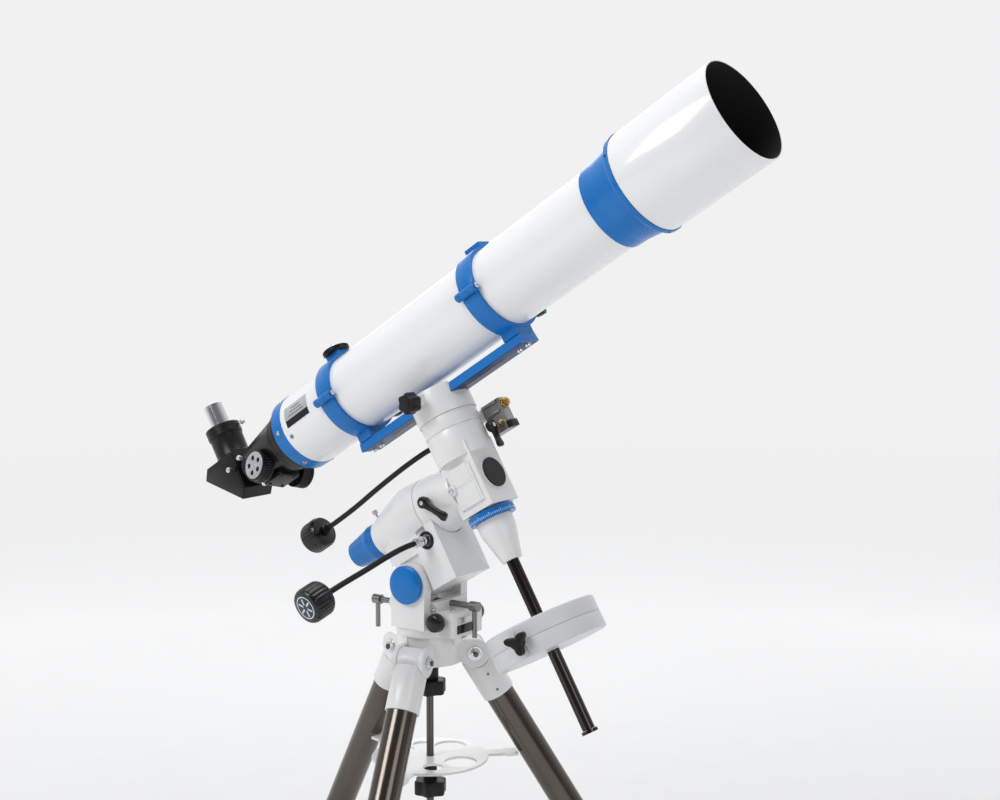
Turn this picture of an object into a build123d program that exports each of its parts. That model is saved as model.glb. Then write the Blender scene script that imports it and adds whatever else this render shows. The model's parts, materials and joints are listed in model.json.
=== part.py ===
from build123d import *
import os
from math import cos, radians, sin, tan

# A refractor telescope on a German equatorial mount and a tripod.
# Millimetres, +Z up, +X is the way that the tube points, origin at the bottom centre of the whole object.
# HEAD is where the polar axis crosses the tripod's vertical centre line.

# Where the head stands
HEAD_X = -36.75
HEAD_Y = 67.95
HEAD_HEIGHT = 975.0
POLAR_TILT = 30.0
DEC_SETTING = 3.0

# Clearances between pieces that move on each other
FIT = 0.05
GAP = 0.3

# Optical tube, along its axis from the declination axis, + towards the objective
TUBE_R = 65.1
TUBE_WALL = 1.6
TUBE_REAR = -280.0
TUBE_FRONT = 431.0
TUBE_OVER_DEC = 235.8
CELL_FLANGE_R = 81.0
CELL_FRONT = 497.7
CELL_SPIGOT_R = 76.95
SHIELD_R = 79.4
SHIELD_WALL = 2.4
SHIELD_FRONT = 676.0
LENS_R = 62.0
TAIL_BACK = -310.0
TAIL_HOLE_R = 46.0
FOCUSER_BACK = -425.0
FOCUSER_ROLL = -16.0
DRAWTUBE_R = 27.0
NOSE_R = 25.4
PINION_T = -378.0
PINION_H = -33.0
FOCUS_KNOB_R = 27.0
DIAGONAL_T = -480.0
EYEPIECE_R = 17.6
EYEPIECE_BORE_R = 15.9

# Tube rings and dovetail
RING_R = 71.0
RING_HINGE_Y = -74.0
RING_CLAMP_Y = 81.0
REAR_RING = (-174.0, -143.0)
STUD_R = 3.175
FRONT_RING = (173.0, 204.0)
BAR_TOP = -81.0
BAR_BOTTOM = -96.0
BAR_HALF_TOP = 19.0
BAR_HALF_BOTTOM = 22.0

# Declination axis, heights from the polar axis
DEC_ON_POLAR = 109.3
DEC_HOUSING_R = 47.0
DEC_TOP = 112.0
BLOCK_BOTTOM = -48.0
DEC_SHAFT_R = 14.0
DEC_WHEEL_R = 40.9
DEC_WHEEL_B = 97.0
DEC_WORM_Y = 48.0
CIRCLE_R = 38.0
WEIGHT_SHAFT_R = 10.0
WEIGHT_SHAFT_END = -414.0
WEIGHT_R = 90.0
WEIGHT_TOP = -232.6
WEIGHT_BOTTOM = -284.7
WEIGHT_KNOB_ANGLE = 280.0

# Polar axis
SEAM = 13.0
DRUM_R = 50.0
RA_LEVER_A = 41.0
DEC_LEVER_Y = 20.0
DEC_LEVER_B = 69.0
RA_SHAFT_R = 20.0
POLAR_BORE_R = 11.0
RA_WHEEL_R = 40.0
RA_WORM_A = 6.5
RA_WORM_B = -47.0
WORM_R = 6.7
FRONT_CAP_A = 144.0
ALTITUDE_Z = -109.5
ALTITUDE_R = 30.2

# Azimuth base
BASE_R = 54.0
BASE_BOTTOM = -193.7
BASE_TOP = -168.0
FORK_INNER_Y = 40.0
FORK_OUTER_Y = 57.0
PEG_X = 50.0
PEG_R = 4.0
AZIMUTH_KNOB_X = 52.0
AZIMUTH_KNOB_Z = -165.0
SOUTH_BOLT_Z = -155.0
NORTH_BOLT_Z = -143.0
ALTITUDE_BOLT_R = 5.0

# Tripod
HUB_R = 51.4
HUB_TOP = -194.0
HUB_BOTTOM = -241.5
LEG_NAMES = ("a", "b", "c")
LEG_ANGLES = (45.0, 165.0, 285.0)
LEG_SPREAD = 31.0
LEG_PIVOT_R = 70.0
LEG_PIVOT_Z = -228.0
PIVOT_BOLT_R = 5.0
EAR_INNER = 18.2
EAR_OUTER = 26.0
EAR_R = 23.5
LEG_R = 24.0
LEG_INNER_R = 22.5
LOWER_LEG_R = 20.5
ROD_R = 5.9
TRAY_Z = -399.0
TRAY_R = 94.6
TRAY_LARGE_HOLES = (2.0, 94.0, 186.0)
TRAY_SMALL_HOLES = (-48.0, -127.0, 140.0)
TRAY_HOLE_REACH = 60.0

# Control shafts, points of each route from the worm to the knob, measured from HEAD
CONTROL_R = 4.5
KNOB_R = 28.0
KNOB_LENGTH = 38.0
RA_ROUTE = [
    (29.13, -58.4, -37.45), (27.4, -90.0, -39.5), (15.0, -122.0, -52.0), (-4.0, -156.0, -72.0),
    (-24.2, -190.1, -91.0), (-27.9, -222.1, -101.9)]
DEC_ROUTE = [
    (-6.9, 48.0, 107.4), (-40.0, 48.6, 90.6), (-78.0, 50.5, 68.0), (-118.0, 53.0, 42.0),
    (-160.0, 55.5, 13.0), (-200.0, 58.0, -16.0), (-238.0, 59.4, -41.5), (-276.0, 60.0, -65.5)]

HEAD = Pos(HEAD_X, HEAD_Y, HEAD_HEIGHT)
TILT = radians(POLAR_TILT)
# POLAR: Z along the polar axis, X away from the counterweight, Y towards the near side (-Y of the part)
POLAR = Plane(
    origin=(HEAD_X, HEAD_Y, HEAD_HEIGHT),
    x_dir=(-sin(TILT), 0, cos(TILT)),
    z_dir=(cos(TILT), 0, sin(TILT))).location
# DEC: Z along the declination axis towards the tube, X along the polar axis, Y as the part's Y
DEC = POLAR * Pos(0, 0, DEC_ON_POLAR) * Plane(origin=(0, 0, 0), x_dir=(0, 0, 1), z_dir=(1, 0, 0)).location
# TUBE: X along the tube, Z up through the rings, Y as the part's Y but for the declination setting
TUBE = DEC * Pos(0, 0, TUBE_OVER_DEC) * Rot(0, 0, -DEC_SETTING)
FOCUSER = TUBE * Rot(FOCUSER_ROLL, 0, 0)


def rod_x(radius, start, end, y=0.0, z=0.0):
    """A round bar along X."""
    return Pos((start + end) / 2, y, z) * Rot(0, 90, 0) * Cylinder(radius, end - start)


def rod_y(radius, start, end, x=0.0, z=0.0):
    """A round bar along Y."""
    return Pos(x, (start + end) / 2, z) * Rot(90, 0, 0) * Cylinder(radius, end - start)


def rod_z(radius, start, end, x=0.0, y=0.0):
    """A round bar along Z."""
    return Pos(x, y, (start + end) / 2) * Cylinder(radius, end - start)


def block(x_range, y_range, z_range):
    """A box between two corners."""
    size = [high - low for low, high in (x_range, y_range, z_range)]
    middle = [(high + low) / 2 for low, high in (x_range, y_range, z_range)]
    return Pos(*middle) * Box(*size)


def lathe_z(*profile):
    """A solid turned about Z from (radius, z) points."""
    outline = Polyline([(radius, 0, z) for radius, z in profile], close=True)
    return revolve(make_face(outline), Axis.Z, 360)


def lathe_x(*profile):
    """A solid turned about X from (radius, x) points."""
    return Rot(0, 90, 0) * lathe_z(*profile)


def prism_y(points, half_width):
    """A plate of (x, z) outline, centred on Y."""
    outline = make_face(Polyline([(x, 0, z) for x, z in points], close=True))
    return extrude(outline, half_width, dir=(0, 1, 0), both=True)


def prism_x(points, start, end):
    """A bar of (y, z) outline along X."""
    outline = make_face(Polyline([(start, y, z) for y, z in points], close=True))
    return extrude(outline, end - start, dir=(1, 0, 0))


def star_knob(radius, lobes, start, end, bore):
    """A hand knob about Z with round lobes on its rim and a hole through it."""
    lobe_r = radius * 0.36
    body = rod_z(radius * 0.74, start, end)
    for turn in range(lobes):
        angle = radians(360 * turn / lobes)
        reach = radius - lobe_r
        body += rod_z(lobe_r, start, end, reach * cos(angle), reach * sin(angle))
    return body - rod_z(bore, start - 1, end + 1)


def ribbed_knob(radius, start, end, ribs):
    """A round knob about Z with shallow flutes along its side."""
    body = rod_z(radius, start, end)
    flute_r = 2.2
    for turn in range(ribs):
        angle = radians(360 * turn / ribs)
        reach = radius + 1.0
        body -= rod_z(flute_r, start + 4, end - 4, reach * cos(angle), reach * sin(angle))
    return body


def save(name, shape, frame=HEAD):
    """Place a shape by its frame and write it as one sub-part."""
    placed = frame * shape
    solids = placed.solids()
    export_step(solids[0] if len(solids) == 1 else Compound(children=solids), f"parts/{name}.step")


def leg_frame(angle):
    """The frame of a leg: Z down along it from its pivot, Y along the pivot bolt."""
    return HEAD * Rot(0, 0, angle) * Pos(LEG_PIVOT_R, 0, LEG_PIVOT_Z) * Rot(0, 180 - LEG_SPREAD, 0)


# ---------------------------------------------------------------- tripod

def tripod_hub():
    boss_r = 20.0
    hub = rod_z(HUB_R, HUB_BOTTOM, HUB_TOP)
    hub += rod_z(boss_r, HUB_TOP, HUB_TOP + 12)
    hub += block((30, PEG_X + 7), (-9, 9), (HUB_TOP - 14, HUB_TOP))
    hub += rod_z(PEG_R, HUB_TOP, AZIMUTH_KNOB_Z + 4, PEG_X)
    ear_low = HUB_BOTTOM - LEG_PIVOT_Z
    for angle in LEG_ANGLES:
        for side in (-1, 1):
            span = sorted((side * EAR_INNER, side * EAR_OUTER))
            ear = rod_y(EAR_R, *span) + block((-34, 0), span, (ear_low, EAR_R))
            ear -= rod_y(PIVOT_BOLT_R, -40, 40)
            hub += Rot(0, 0, angle) * Pos(LEG_PIVOT_R, 0, LEG_PIVOT_Z) * ear
        pocket = block((47, 80), (-EAR_INNER, EAR_INNER), (HUB_BOTTOM - 1, HUB_TOP + 1))
        hub -= Rot(0, 0, angle) * pocket
    hub -= rod_z(ROD_R + GAP, HUB_BOTTOM - 1, HUB_TOP + 20)
    bolts = []
    for angle in LEG_ANGLES:
        bolt = rod_y(PIVOT_BOLT_R, -EAR_OUTER, EAR_OUTER)
        for side in (-1, 1):
            bolt += rod_y(8.5, *sorted((side * EAR_OUTER, side * (EAR_OUTER + 5))))
        bolts.append(Rot(0, 0, angle) * Pos(LEG_PIVOT_R, 0, LEG_PIVOT_Z) * bolt)
    save("tripod_hub", Compound(children=[*hub.solids(), *bolts]))


def legs():
    tongue_r = 22.4
    tongue_half = EAR_INNER - 0.5
    socket_r = 27.0
    socket = rod_z(socket_r, 12, 82)
    for side in (-1, 1):
        socket -= rod_y(EAR_R + 1.1, *sorted((side * tongue_half, side * 40)))
    socket += rod_y(tongue_r, -tongue_half, tongue_half)
    socket -= rod_y(PIVOT_BOLT_R + FIT, -20, 20)
    socket -= rod_z(LEG_R, 30, 90)
    upper = rod_z(LEG_R, 30, 560) - rod_z(LEG_INNER_R, 29, 561)
    collar = rod_z(29, 545, 605) - rod_z(LEG_R, 540, 560) - rod_z(LOWER_LEG_R + FIT, 559, 606)
    lower = rod_z(LOWER_LEG_R, 180, 840) - rod_z(LOWER_LEG_R - 1.5, 179, 830)
    lower += rod_z(LEG_INNER_R - GAP, 180, 200) - rod_z(LOWER_LEG_R - 1.5, 179, 201)
    foot_r = 23.0
    foot = rod_z(foot_r, 826, 900) - rod_z(LOWER_LEG_R, 820, 840)
    floor = Pos(0, 0, -50) * Box(3000, 3000, 100)
    for name, angle in zip(LEG_NAMES, LEG_ANGLES):
        frame = leg_frame(angle)
        save(f"leg_{name}_socket", socket, frame)
        save(f"leg_{name}_upper_tube", Compound(children=[upper, collar]), frame)
        cut_foot = frame * foot - floor
        save(f"leg_{name}_lower_tube", Compound(children=[frame * lower, cut_foot]), Pos(0, 0, 0))


def tray_parts():
    thick = 4.0
    arm_end = 143.0
    tray = rod_z(TRAY_R, TRAY_Z - thick, TRAY_Z)
    for angle in LEG_ANGLES:
        arm = block((80, 124), (-12, 12), (TRAY_Z - thick, TRAY_Z))
        arm += block((122, arm_end), (-16, 16), (TRAY_Z - thick, TRAY_Z))
        tray += Rot(0, 0, angle) * arm
    for angle in TRAY_LARGE_HOLES:
        tray -= Rot(0, 0, angle) * rod_z(26, TRAY_Z - 20, TRAY_Z + 1, TRAY_HOLE_REACH)
    for angle in TRAY_SMALL_HOLES:
        tray -= Rot(0, 0, angle) * rod_z(16, TRAY_Z - 20, TRAY_Z + 1, TRAY_HOLE_REACH)
    tray -= rod_z(ROD_R + GAP, TRAY_Z - 20, TRAY_Z + 1)
    save("tray", tray)
    bore = ROD_R + FIT
    knob = star_knob(27, 6, -462, -439, bore)
    knob += rod_z(11, -440, TRAY_Z - thick - GAP) - rod_z(bore, -441, TRAY_Z)
    save("tray_knob", knob)
    collar_gap = 0.5
    rod = rod_z(ROD_R, -495, -178)
    save("center_rod", rod)
    knob = star_knob(27, 6, -296, -273, bore)
    knob += rod_z(14, -274, HUB_BOTTOM - collar_gap) - rod_z(bore, -275, HUB_BOTTOM)
    save("mount_knob", knob)


# ---------------------------------------------------------------- azimuth and altitude

def azimuth_base():
    wall_x = 33.0
    base = rod_z(BASE_R, BASE_BOTTOM, BASE_TOP)
    for side in (-1, 1):
        span = sorted((side * FORK_INNER_Y, side * FORK_OUTER_Y))
        base += block((-wall_x, wall_x), span, (-180, ALTITUDE_Z))
        base += rod_y(wall_x, *span, 0, ALTITUDE_Z)
    # the azimuth block at the north, and the cross wall of the north altitude bolt
    base += block((30, 76), (-38, 38), (-190, -151))
    base += block((31, 43), (-38, 38), (-170, -136))
    # the boss of the south altitude bolt
    base += block((-60, -30), (-16, 16), (-188, -142))
    base += rod_x(12, -74, -58, 0, SOUTH_BOLT_Z)
    base -= block((PEG_X - 6, PEG_X + 8), (-22, 22), (-200, -158))
    base -= block((28, PEG_X + 9), (-11, 11), (-200, HUB_TOP + GAP))
    for side in (-1, 1):
        base -= rod_y(3.5 + FIT, *sorted((side * 20, side * 40)), AZIMUTH_KNOB_X, AZIMUTH_KNOB_Z)
    base -= rod_x(ALTITUDE_BOLT_R + FIT, -80, -20, 0, SOUTH_BOLT_Z)
    base -= rod_x(ALTITUDE_BOLT_R + FIT, 10, 46, 0, NORTH_BOLT_Z)
    base -= rod_z(20 + FIT, BASE_BOTTOM - 1, HUB_TOP + 12.5)
    base -= rod_z(ROD_R, BASE_BOTTOM, -178)
    base -= rod_y(12, -70, 70, 0, ALTITUDE_Z)
    save("azimuth_base", base)


def azimuth_knobs():
    screw_r = 3.5
    tip = PEG_R + 0.4
    for name, side in (("near", -1), ("far", 1)):
        screw = rod_y(screw_r, *sorted((side * tip, side * 48)), AZIMUTH_KNOB_X, AZIMUTH_KNOB_Z)
        head = rod_y(15, *sorted((side * 46, side * 62)), AZIMUTH_KNOB_X, AZIMUTH_KNOB_Z)
        save(f"azimuth_knob_{name}", screw + head)


def altitude_bolts():
    tip = 9.4
    point = 4.0
    radius = ALTITUDE_BOLT_R
    nose = lathe_x((0, tip), (1.5, tip), (radius, tip + point), (0, tip + point))
    south = rod_x(radius, -112, -tip - point, 0, SOUTH_BOLT_Z)
    south += Pos(0, 0, SOUTH_BOLT_Z) * Rot(0, 0, 180) * nose
    south += rod_x(8, -115, -100, 0, SOUTH_BOLT_Z)
    south += rod_z(4, -201, SOUTH_BOLT_Z, -107.5)
    save("altitude_bolt_south", south)
    north = rod_x(radius, tip + point + 0.4, 92, 0, NORTH_BOLT_Z)
    north += Pos(0.4, 0, NORTH_BOLT_Z) * nose
    north += rod_x(8, 82, 97, 0, NORTH_BOLT_Z)
    north += rod_z(4, -193, NORTH_BOLT_Z, 89.5)
    save("altitude_bolt_north", north)
    pivot = rod_y(12, -FORK_OUTER_Y, FORK_OUTER_Y, 0, ALTITUDE_Z)
    for side in (-1, 1):
        face = sorted((side * FORK_OUTER_Y, side * (FORK_OUTER_Y + 7)))
        pivot += rod_y(ALTITUDE_R, *face, 0, ALTITUDE_Z)
    save("altitude_pivot", pivot)


def polar_housing():
    body = lathe_z((0, -105), (32, -105), (41, -74), (54, -27), (54, -12), (51, SEAM), (0, SEAM))
    body += rod_z(26, -118, -104)
    # the box that holds the worm, and the step that clears the fork
    body += block((-121, -20), (-45, 45), (-20, 31))
    body -= rod_z(DRUM_R + 0.6, SEAM, 40)
    body += block((-121, -20), (-39.5, 39.5), (-26, -19))
    body += block((-52, 0), (-30, 30), (-90, -20))
    body += block((-58, -12), (-44, 44), (-66, -19))
    # the hub on the altitude pivot, with the tongue between the two altitude bolts
    pivot_b = ALTITUDE_Z * cos(TILT)
    pivot_a = ALTITUDE_Z * sin(TILT)
    body += rod_y(27, -39.5, 39.5, pivot_b, pivot_a)
    body += block((pivot_b, -20), (-39.5, 39.5), (pivot_a - 22, -20))
    tongue = POLAR.inverse() * HEAD * block((-8, 8), (-12, 12), (-166, ALTITUDE_Z - 20))
    body += tongue
    body -= rod_y(12 + FIT, -60, 60, pivot_b, pivot_a)
    body -= rod_z(RA_SHAFT_R + FIT, -130, 20)
    body -= rod_z(RA_WHEEL_R + 0.4, 0.5, 20)
    body -= rod_y(WORM_R + 0.5, -25, 25, RA_WORM_B, RA_WORM_A)
    body -= rod_y(4 + FIT, -31, 50, RA_WORM_B, RA_WORM_A)
    save("polar_housing", body, POLAR)


def polar_scope_cap():
    cap = lathe_z((26 + FIT, -105.4), (30, -105.4), (31, -124), (29, -130), (22, -172), (0, -172), (0, -168),
                  (19, -168), (26 + FIT, -128))
    save("polar_scope_cap", cap, POLAR)


def ra_worm():
    worm = rod_y(4, -30, 46, RA_WORM_B, RA_WORM_A)
    worm += rod_y(WORM_R, -20, 20, RA_WORM_B, RA_WORM_A)
    worm += rod_y(8, 45.4, 58, RA_WORM_B, RA_WORM_A)
    save("ra_worm", worm, POLAR)


def ra_wheel_and_shaft():
    wheel = rod_z(RA_WHEEL_R, 1, 12) - rod_z(RA_SHAFT_R + FIT, 0, 13)
    save("ra_worm_wheel", wheel, POLAR)
    shaft = rod_z(RA_SHAFT_R, -116, 50) - rod_z(POLAR_BORE_R, -117, 51)
    save("ra_shaft", shaft, POLAR)


# ---------------------------------------------------------------- declination head

def dec_housing():
    """The head on the polar axis: drum, block and the housing of the declination axis (DEC frame)."""
    drum = lathe_x((0, SEAM + GAP), (DRUM_R, SEAM + GAP), (DRUM_R, 24), (46, 60), (42, 84), (0, 84))
    body = Pos(-DEC_ON_POLAR, 0, 0) * drum
    front = FRONT_CAP_A - DEC_ON_POLAR
    body += block((-30, front), (-35, 35), (BLOCK_BOTTOM, 60))
    body += block((-22, 26), (-38, 38), (-36, 26))
    body += rod_z(DEC_HOUSING_R, 40, DEC_TOP)
    body += rod_x(11, 62 - DEC_ON_POLAR, 146 - DEC_ON_POLAR, DEC_WORM_Y, DEC_WHEEL_B)
    body -= rod_z(DEC_HOUSING_R + 1, 87, 89) - rod_z(DEC_HOUSING_R - 1.2, 86, 90) - block(
        (-60, 60), (34, 70), (80, 100))
    body -= rod_z(DEC_SHAFT_R + FIT, BLOCK_BOTTOM - 1, DEC_TOP + 1)
    body -= rod_z(DEC_WHEEL_R + 0.4, 90, DEC_TOP + 1)
    body -= rod_x(POLAR_BORE_R, 40 - DEC_ON_POLAR, front + 1)
    body -= rod_x(RA_SHAFT_R, SEAM - DEC_ON_POLAR, 50 - DEC_ON_POLAR)
    body -= rod_x(WORM_R + 0.5, -25, 25, DEC_WORM_Y, DEC_WHEEL_B)
    body -= rod_x(4 + FIT, -60, 60, DEC_WORM_Y, DEC_WHEEL_B)
    body -= rod_y(4 + FIT, -60, -38, RA_LEVER_A - DEC_ON_POLAR, 4)
    body -= rod_x(4 + FIT, 25, 60, DEC_LEVER_Y, DEC_LEVER_B)
    save("dec_housing", body, DEC)


def clutch_levers():
    hub_r = 8.5
    x = RA_LEVER_A - DEC_ON_POLAR
    lever = rod_y(4, -60, -39, x, 4) + rod_y(hub_r, -62, -51, x, 4)
    arm = Pos(x, -59, 4) * Rot(0, 53.8, 0) * block((0, 51), (-3, 3), (-5, 5))
    lever += arm
    save("ra_clutch_lever", lever, DEC)
    lever = rod_x(4, 28, 52, DEC_LEVER_Y, DEC_LEVER_B)
    lever += rod_x(hub_r, 47.5, 60, DEC_LEVER_Y, DEC_LEVER_B)
    lever += block((53, 59), (DEC_LEVER_Y - 4, DEC_LEVER_Y + 4), (DEC_LEVER_B - 37, DEC_LEVER_B))
    save("dec_clutch_lever", lever, DEC)


def dec_trim():
    front = FRONT_CAP_A - DEC_ON_POLAR
    cap = rod_x(24.5, front + GAP, front + 4.3) + rod_x(POLAR_BORE_R - FIT, front - 8, front + 1)
    save("polar_front_cap", cap, DEC)
    start = 146 - DEC_ON_POLAR
    carrier = block((start, start + 38), (DEC_WORM_Y - 8, DEC_WORM_Y + 12), (56, 108))
    carrier -= rod_x(4 + FIT, start - 1, start + 40, DEC_WORM_Y, DEC_WHEEL_B)
    save("dec_worm_carrier", carrier, DEC)
    worm = rod_x(4, 50 - DEC_ON_POLAR, 195 - DEC_ON_POLAR, DEC_WORM_Y, DEC_WHEEL_B)
    worm += rod_x(WORM_R, -20, 20, DEC_WORM_Y, DEC_WHEEL_B)
    worm += rod_x(6.5, 48 - DEC_ON_POLAR, 61.5 - DEC_ON_POLAR, DEC_WORM_Y, DEC_WHEEL_B)
    save("dec_worm", worm, DEC)
    wheel = rod_z(DEC_WHEEL_R, 91, 103) - rod_z(DEC_SHAFT_R + FIT, 90, 104)
    save("dec_worm_wheel", wheel, DEC)


def dec_shafts():
    shaft = rod_z(DEC_SHAFT_R, -46, DEC_TOP + 12) - rod_x(POLAR_BORE_R, -30, 30)
    save("dec_shaft", shaft, DEC)
    neck_r = 20.0
    circle = rod_z(CIRCLE_R, -63.7, -51.4) - rod_z(neck_r + FIT, -70, -50)
    save("dec_setting_circle", circle, DEC)
    cone = lathe_z((0, BLOCK_BOTTOM), (neck_r, BLOCK_BOTTOM), (neck_r, -64.2), (30, -64.2), (29, -84),
                   (16.5, -134), (0, -134))
    cone -= rod_z(WEIGHT_SHAFT_R, -140, -90)
    save("shaft_cone", cone, DEC)
    stud_r = 4.0
    shaft = rod_z(WEIGHT_SHAFT_R, WEIGHT_SHAFT_END, -90)
    shaft -= rod_z(stud_r + FIT, WEIGHT_SHAFT_END - 1, WEIGHT_SHAFT_END + 20)
    save("counterweight_shaft", shaft, DEC)
    stop = rod_z(13, WEIGHT_SHAFT_END - 5.4, WEIGHT_SHAFT_END - GAP)
    stop += rod_z(stud_r, WEIGHT_SHAFT_END - 1, WEIGHT_SHAFT_END + 18)
    save("shaft_end_stop", stop, DEC)


def counterweight():
    middle = (WEIGHT_TOP + WEIGHT_BOTTOM) / 2
    edge = 2.0
    weight = lathe_z(
        (WEIGHT_SHAFT_R + FIT, WEIGHT_TOP), (WEIGHT_R - edge, WEIGHT_TOP), (WEIGHT_R, WEIGHT_TOP - edge),
        (WEIGHT_R, middle + 1), (WEIGHT_R - 1.5, middle), (WEIGHT_R, middle - 1),
        (WEIGHT_R, WEIGHT_BOTTOM + edge), (WEIGHT_R - edge, WEIGHT_BOTTOM), (WEIGHT_SHAFT_R + FIT, WEIGHT_BOTTOM))
    knob_frame = Rot(0, 0, WEIGHT_KNOB_ANGLE) * Pos(0, 0, middle) * Rot(0, 90, 0)
    weight -= knob_frame * rod_z(4 + FIT, 8, 100)
    save("counterweight", weight, DEC)
    knob = star_knob(17, 3, WEIGHT_R + 4, WEIGHT_R + 18, 2) + rod_z(4, WEIGHT_SHAFT_R + 0.5, WEIGHT_R + 18)
    knob += rod_z(9, WEIGHT_R + GAP, WEIGHT_R + 5)
    save("counterweight_knob", knob_frame * knob, DEC)


# ---------------------------------------------------------------- optical tube

def saddle_parts():
    top = BAR_TOP + 3.2
    bottom = DEC_TOP + 0.4 - TUBE_OVER_DEC
    body = rod_z(49, bottom, top)
    slot = [(-BAR_HALF_BOTTOM - GAP, BAR_BOTTOM - GAP), (BAR_HALF_BOTTOM + GAP, BAR_BOTTOM - GAP),
            (BAR_HALF_TOP + GAP, BAR_TOP), (BAR_HALF_TOP + 2, top + 1),
            (-BAR_HALF_TOP - 2, top + 1), (-BAR_HALF_TOP - GAP, BAR_TOP)]
    body -= prism_x(slot, -60, 60)
    body -= block((-60, 60), (24, 60), (BAR_TOP - 4, top + 1))
    body -= rod_z(DEC_SHAFT_R, bottom - 1, bottom + 11.6)
    body += block((-12, 12), (-60, -40), (-97, -83))
    body -= rod_y(3.5 + FIT, -70, -15, 0, -90)
    save("saddle", body, TUBE)
    knob = star_knob(17, 6, 62, 82, 2) + rod_z(3.5, BAR_HALF_BOTTOM + 0.2, 80)
    save("saddle_knob", Pos(0, 0, -90) * Rot(90, 0, 0) * knob, TUBE)


def dovetail_bar():
    section = [(-BAR_HALF_BOTTOM, BAR_BOTTOM), (BAR_HALF_BOTTOM, BAR_BOTTOM),
               (BAR_HALF_TOP, BAR_TOP), (-BAR_HALF_TOP, BAR_TOP)]
    bar = prism_x(section, REAR_RING[0] - 3, FRONT_RING[1] + 1)
    bar -= block((-120, 150), (-5, 5), (BAR_BOTTOM - 1, BAR_BOTTOM + 5))
    save("dovetail_bar", bar, TUBE)


def ring_halves(span):
    """The lower and the upper half of one tube ring, with the hinge on the near side."""
    start, end = span
    middle = (start + end) / 2
    knuckle_r = 7.0
    hoop = rod_x(RING_R, start, end)
    lower = hoop - rod_x(TUBE_R, start - 1, end + 1) - block((start - 1, end + 1), (-90, 90), (0, 90))
    lower += block((start + 1, end - 1), (-21, 21), (BAR_TOP, -66)) - rod_x(RING_R - 2, start - 1, end + 1)
    upper = hoop - rod_x(TUBE_R + GAP, start - 1, end + 1) - block((start - 1, end + 1), (-90, 90), (-90, GAP))
    upper += block((start, end), (-13, 13), (66, 78)) - rod_x(RING_R - 2, start - 1, end + 1)
    # hinge: the lower half has the two outer knuckles and the pin
    inner_half = 9.5
    outer_half = 20.0
    for side in (-1, 1):
        ends = sorted((middle + side * (inner_half + GAP), middle + side * outer_half))
        lower += rod_x(knuckle_r, *ends, RING_HINGE_Y)
        relief = sorted((middle + side * inner_half, middle + side * (outer_half + 1)))
        upper -= rod_x(knuckle_r + 0.5, *relief, RING_HINGE_Y)
    lower -= rod_x(knuckle_r + 0.5, middle - inner_half - GAP, middle + inner_half + GAP, RING_HINGE_Y)
    lower += rod_x(3, middle - outer_half - 1, middle + outer_half + 1, RING_HINGE_Y)
    upper += rod_x(knuckle_r, middle - inner_half, middle + inner_half, RING_HINGE_Y) - rod_x(
        TUBE_R + GAP, start - 1, end + 1)
    upper -= rod_x(3 + FIT, middle - 12, middle + 12, RING_HINGE_Y)
    # clamp lugs on the far side
    lug_x = (middle - 9, middle + 9)
    lug_y = (66, RING_CLAMP_Y + 8)
    lower += block(lug_x, lug_y, (-9, 0)) - rod_x(TUBE_R, start - 1, end + 1)
    upper += block(lug_x, lug_y, (GAP, 9)) - rod_x(TUBE_R + GAP, start - 1, end + 1)
    upper -= rod_z(5.5, -1, 10, middle, RING_CLAMP_Y)
    lower -= rod_z(3, -10, 1, middle, RING_CLAMP_Y)
    screw = rod_z(3, -30, 7, middle, RING_CLAMP_Y)
    screw += Pos(middle, RING_CLAMP_Y, 0) * star_knob(12, 5, -45, -28, 1)
    screw += rod_z(6, -28, -9, middle, RING_CLAMP_Y)
    return lower, upper, screw


def rings():
    rear_low, rear_up, rear_screw = ring_halves(REAR_RING)
    front_low, front_up, front_screw = ring_halves(FRONT_RING)
    save("lower_rings", Compound(children=[rear_low, rear_screw, front_low, front_screw]), TUBE)
    stud_x = sum(REAR_RING) / 2
    neck_r = 4.5
    rear_up += rod_z(neck_r, 70, 87.5, stud_x)
    rear_up += rod_z(STUD_R, 87.5, 97, stud_x)
    save("upper_ring_rear", rear_up, TUBE)
    save("upper_ring_front", front_up, TUBE)
    nut = Pos(stud_x, 0, 0) * (ribbed_knob(23, 78.4, 87, 40) - rod_z(neck_r + FIT, 70, 90))
    save("ring_thumb_nut", nut, TUBE)


def main_tube():
    inner = TUBE_R - TUBE_WALL
    save("main_tube", rod_x(TUBE_R, TUBE_REAR, TUBE_FRONT) - rod_x(inner, TUBE_REAR - 1, TUBE_FRONT + 1), TUBE)


def objective():
    inner = TUBE_R - TUBE_WALL
    cell = lathe_x(
        (60, 415), (inner, 415), (inner, TUBE_FRONT), (67.5, TUBE_FRONT), (68.5, 452), (73.5, 485), (76, 490),
        (CELL_FLANGE_R, 492), (CELL_FLANGE_R, CELL_FRONT), (CELL_SPIGOT_R, CELL_FRONT),
        (CELL_SPIGOT_R, 525), (71, 525), (71, 500), (LENS_R, 500), (LENS_R, 455), (60, 455))
    save("objective_cell", cell, TUBE)
    # a convex crown lens in front of a flint lens, with an air gap held by the cell
    bulge = 3.0
    crown = lathe_x((0, 468), (LENS_R, 468), (LENS_R, 478), (40, 478 + bulge * 0.6), (0, 478 + bulge))
    flint = lathe_x((0, 456), (LENS_R, 456), (LENS_R, 467), (0, 467))
    save("objective_lenses", Compound(children=[crown, flint]), TUBE)
    shield = rod_x(SHIELD_R, CELL_FRONT + GAP, SHIELD_FRONT)
    shield -= rod_x(SHIELD_R - SHIELD_WALL, CELL_FRONT - 1, SHIELD_FRONT + 1)
    save("dew_shield", shield, TUBE)


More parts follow.
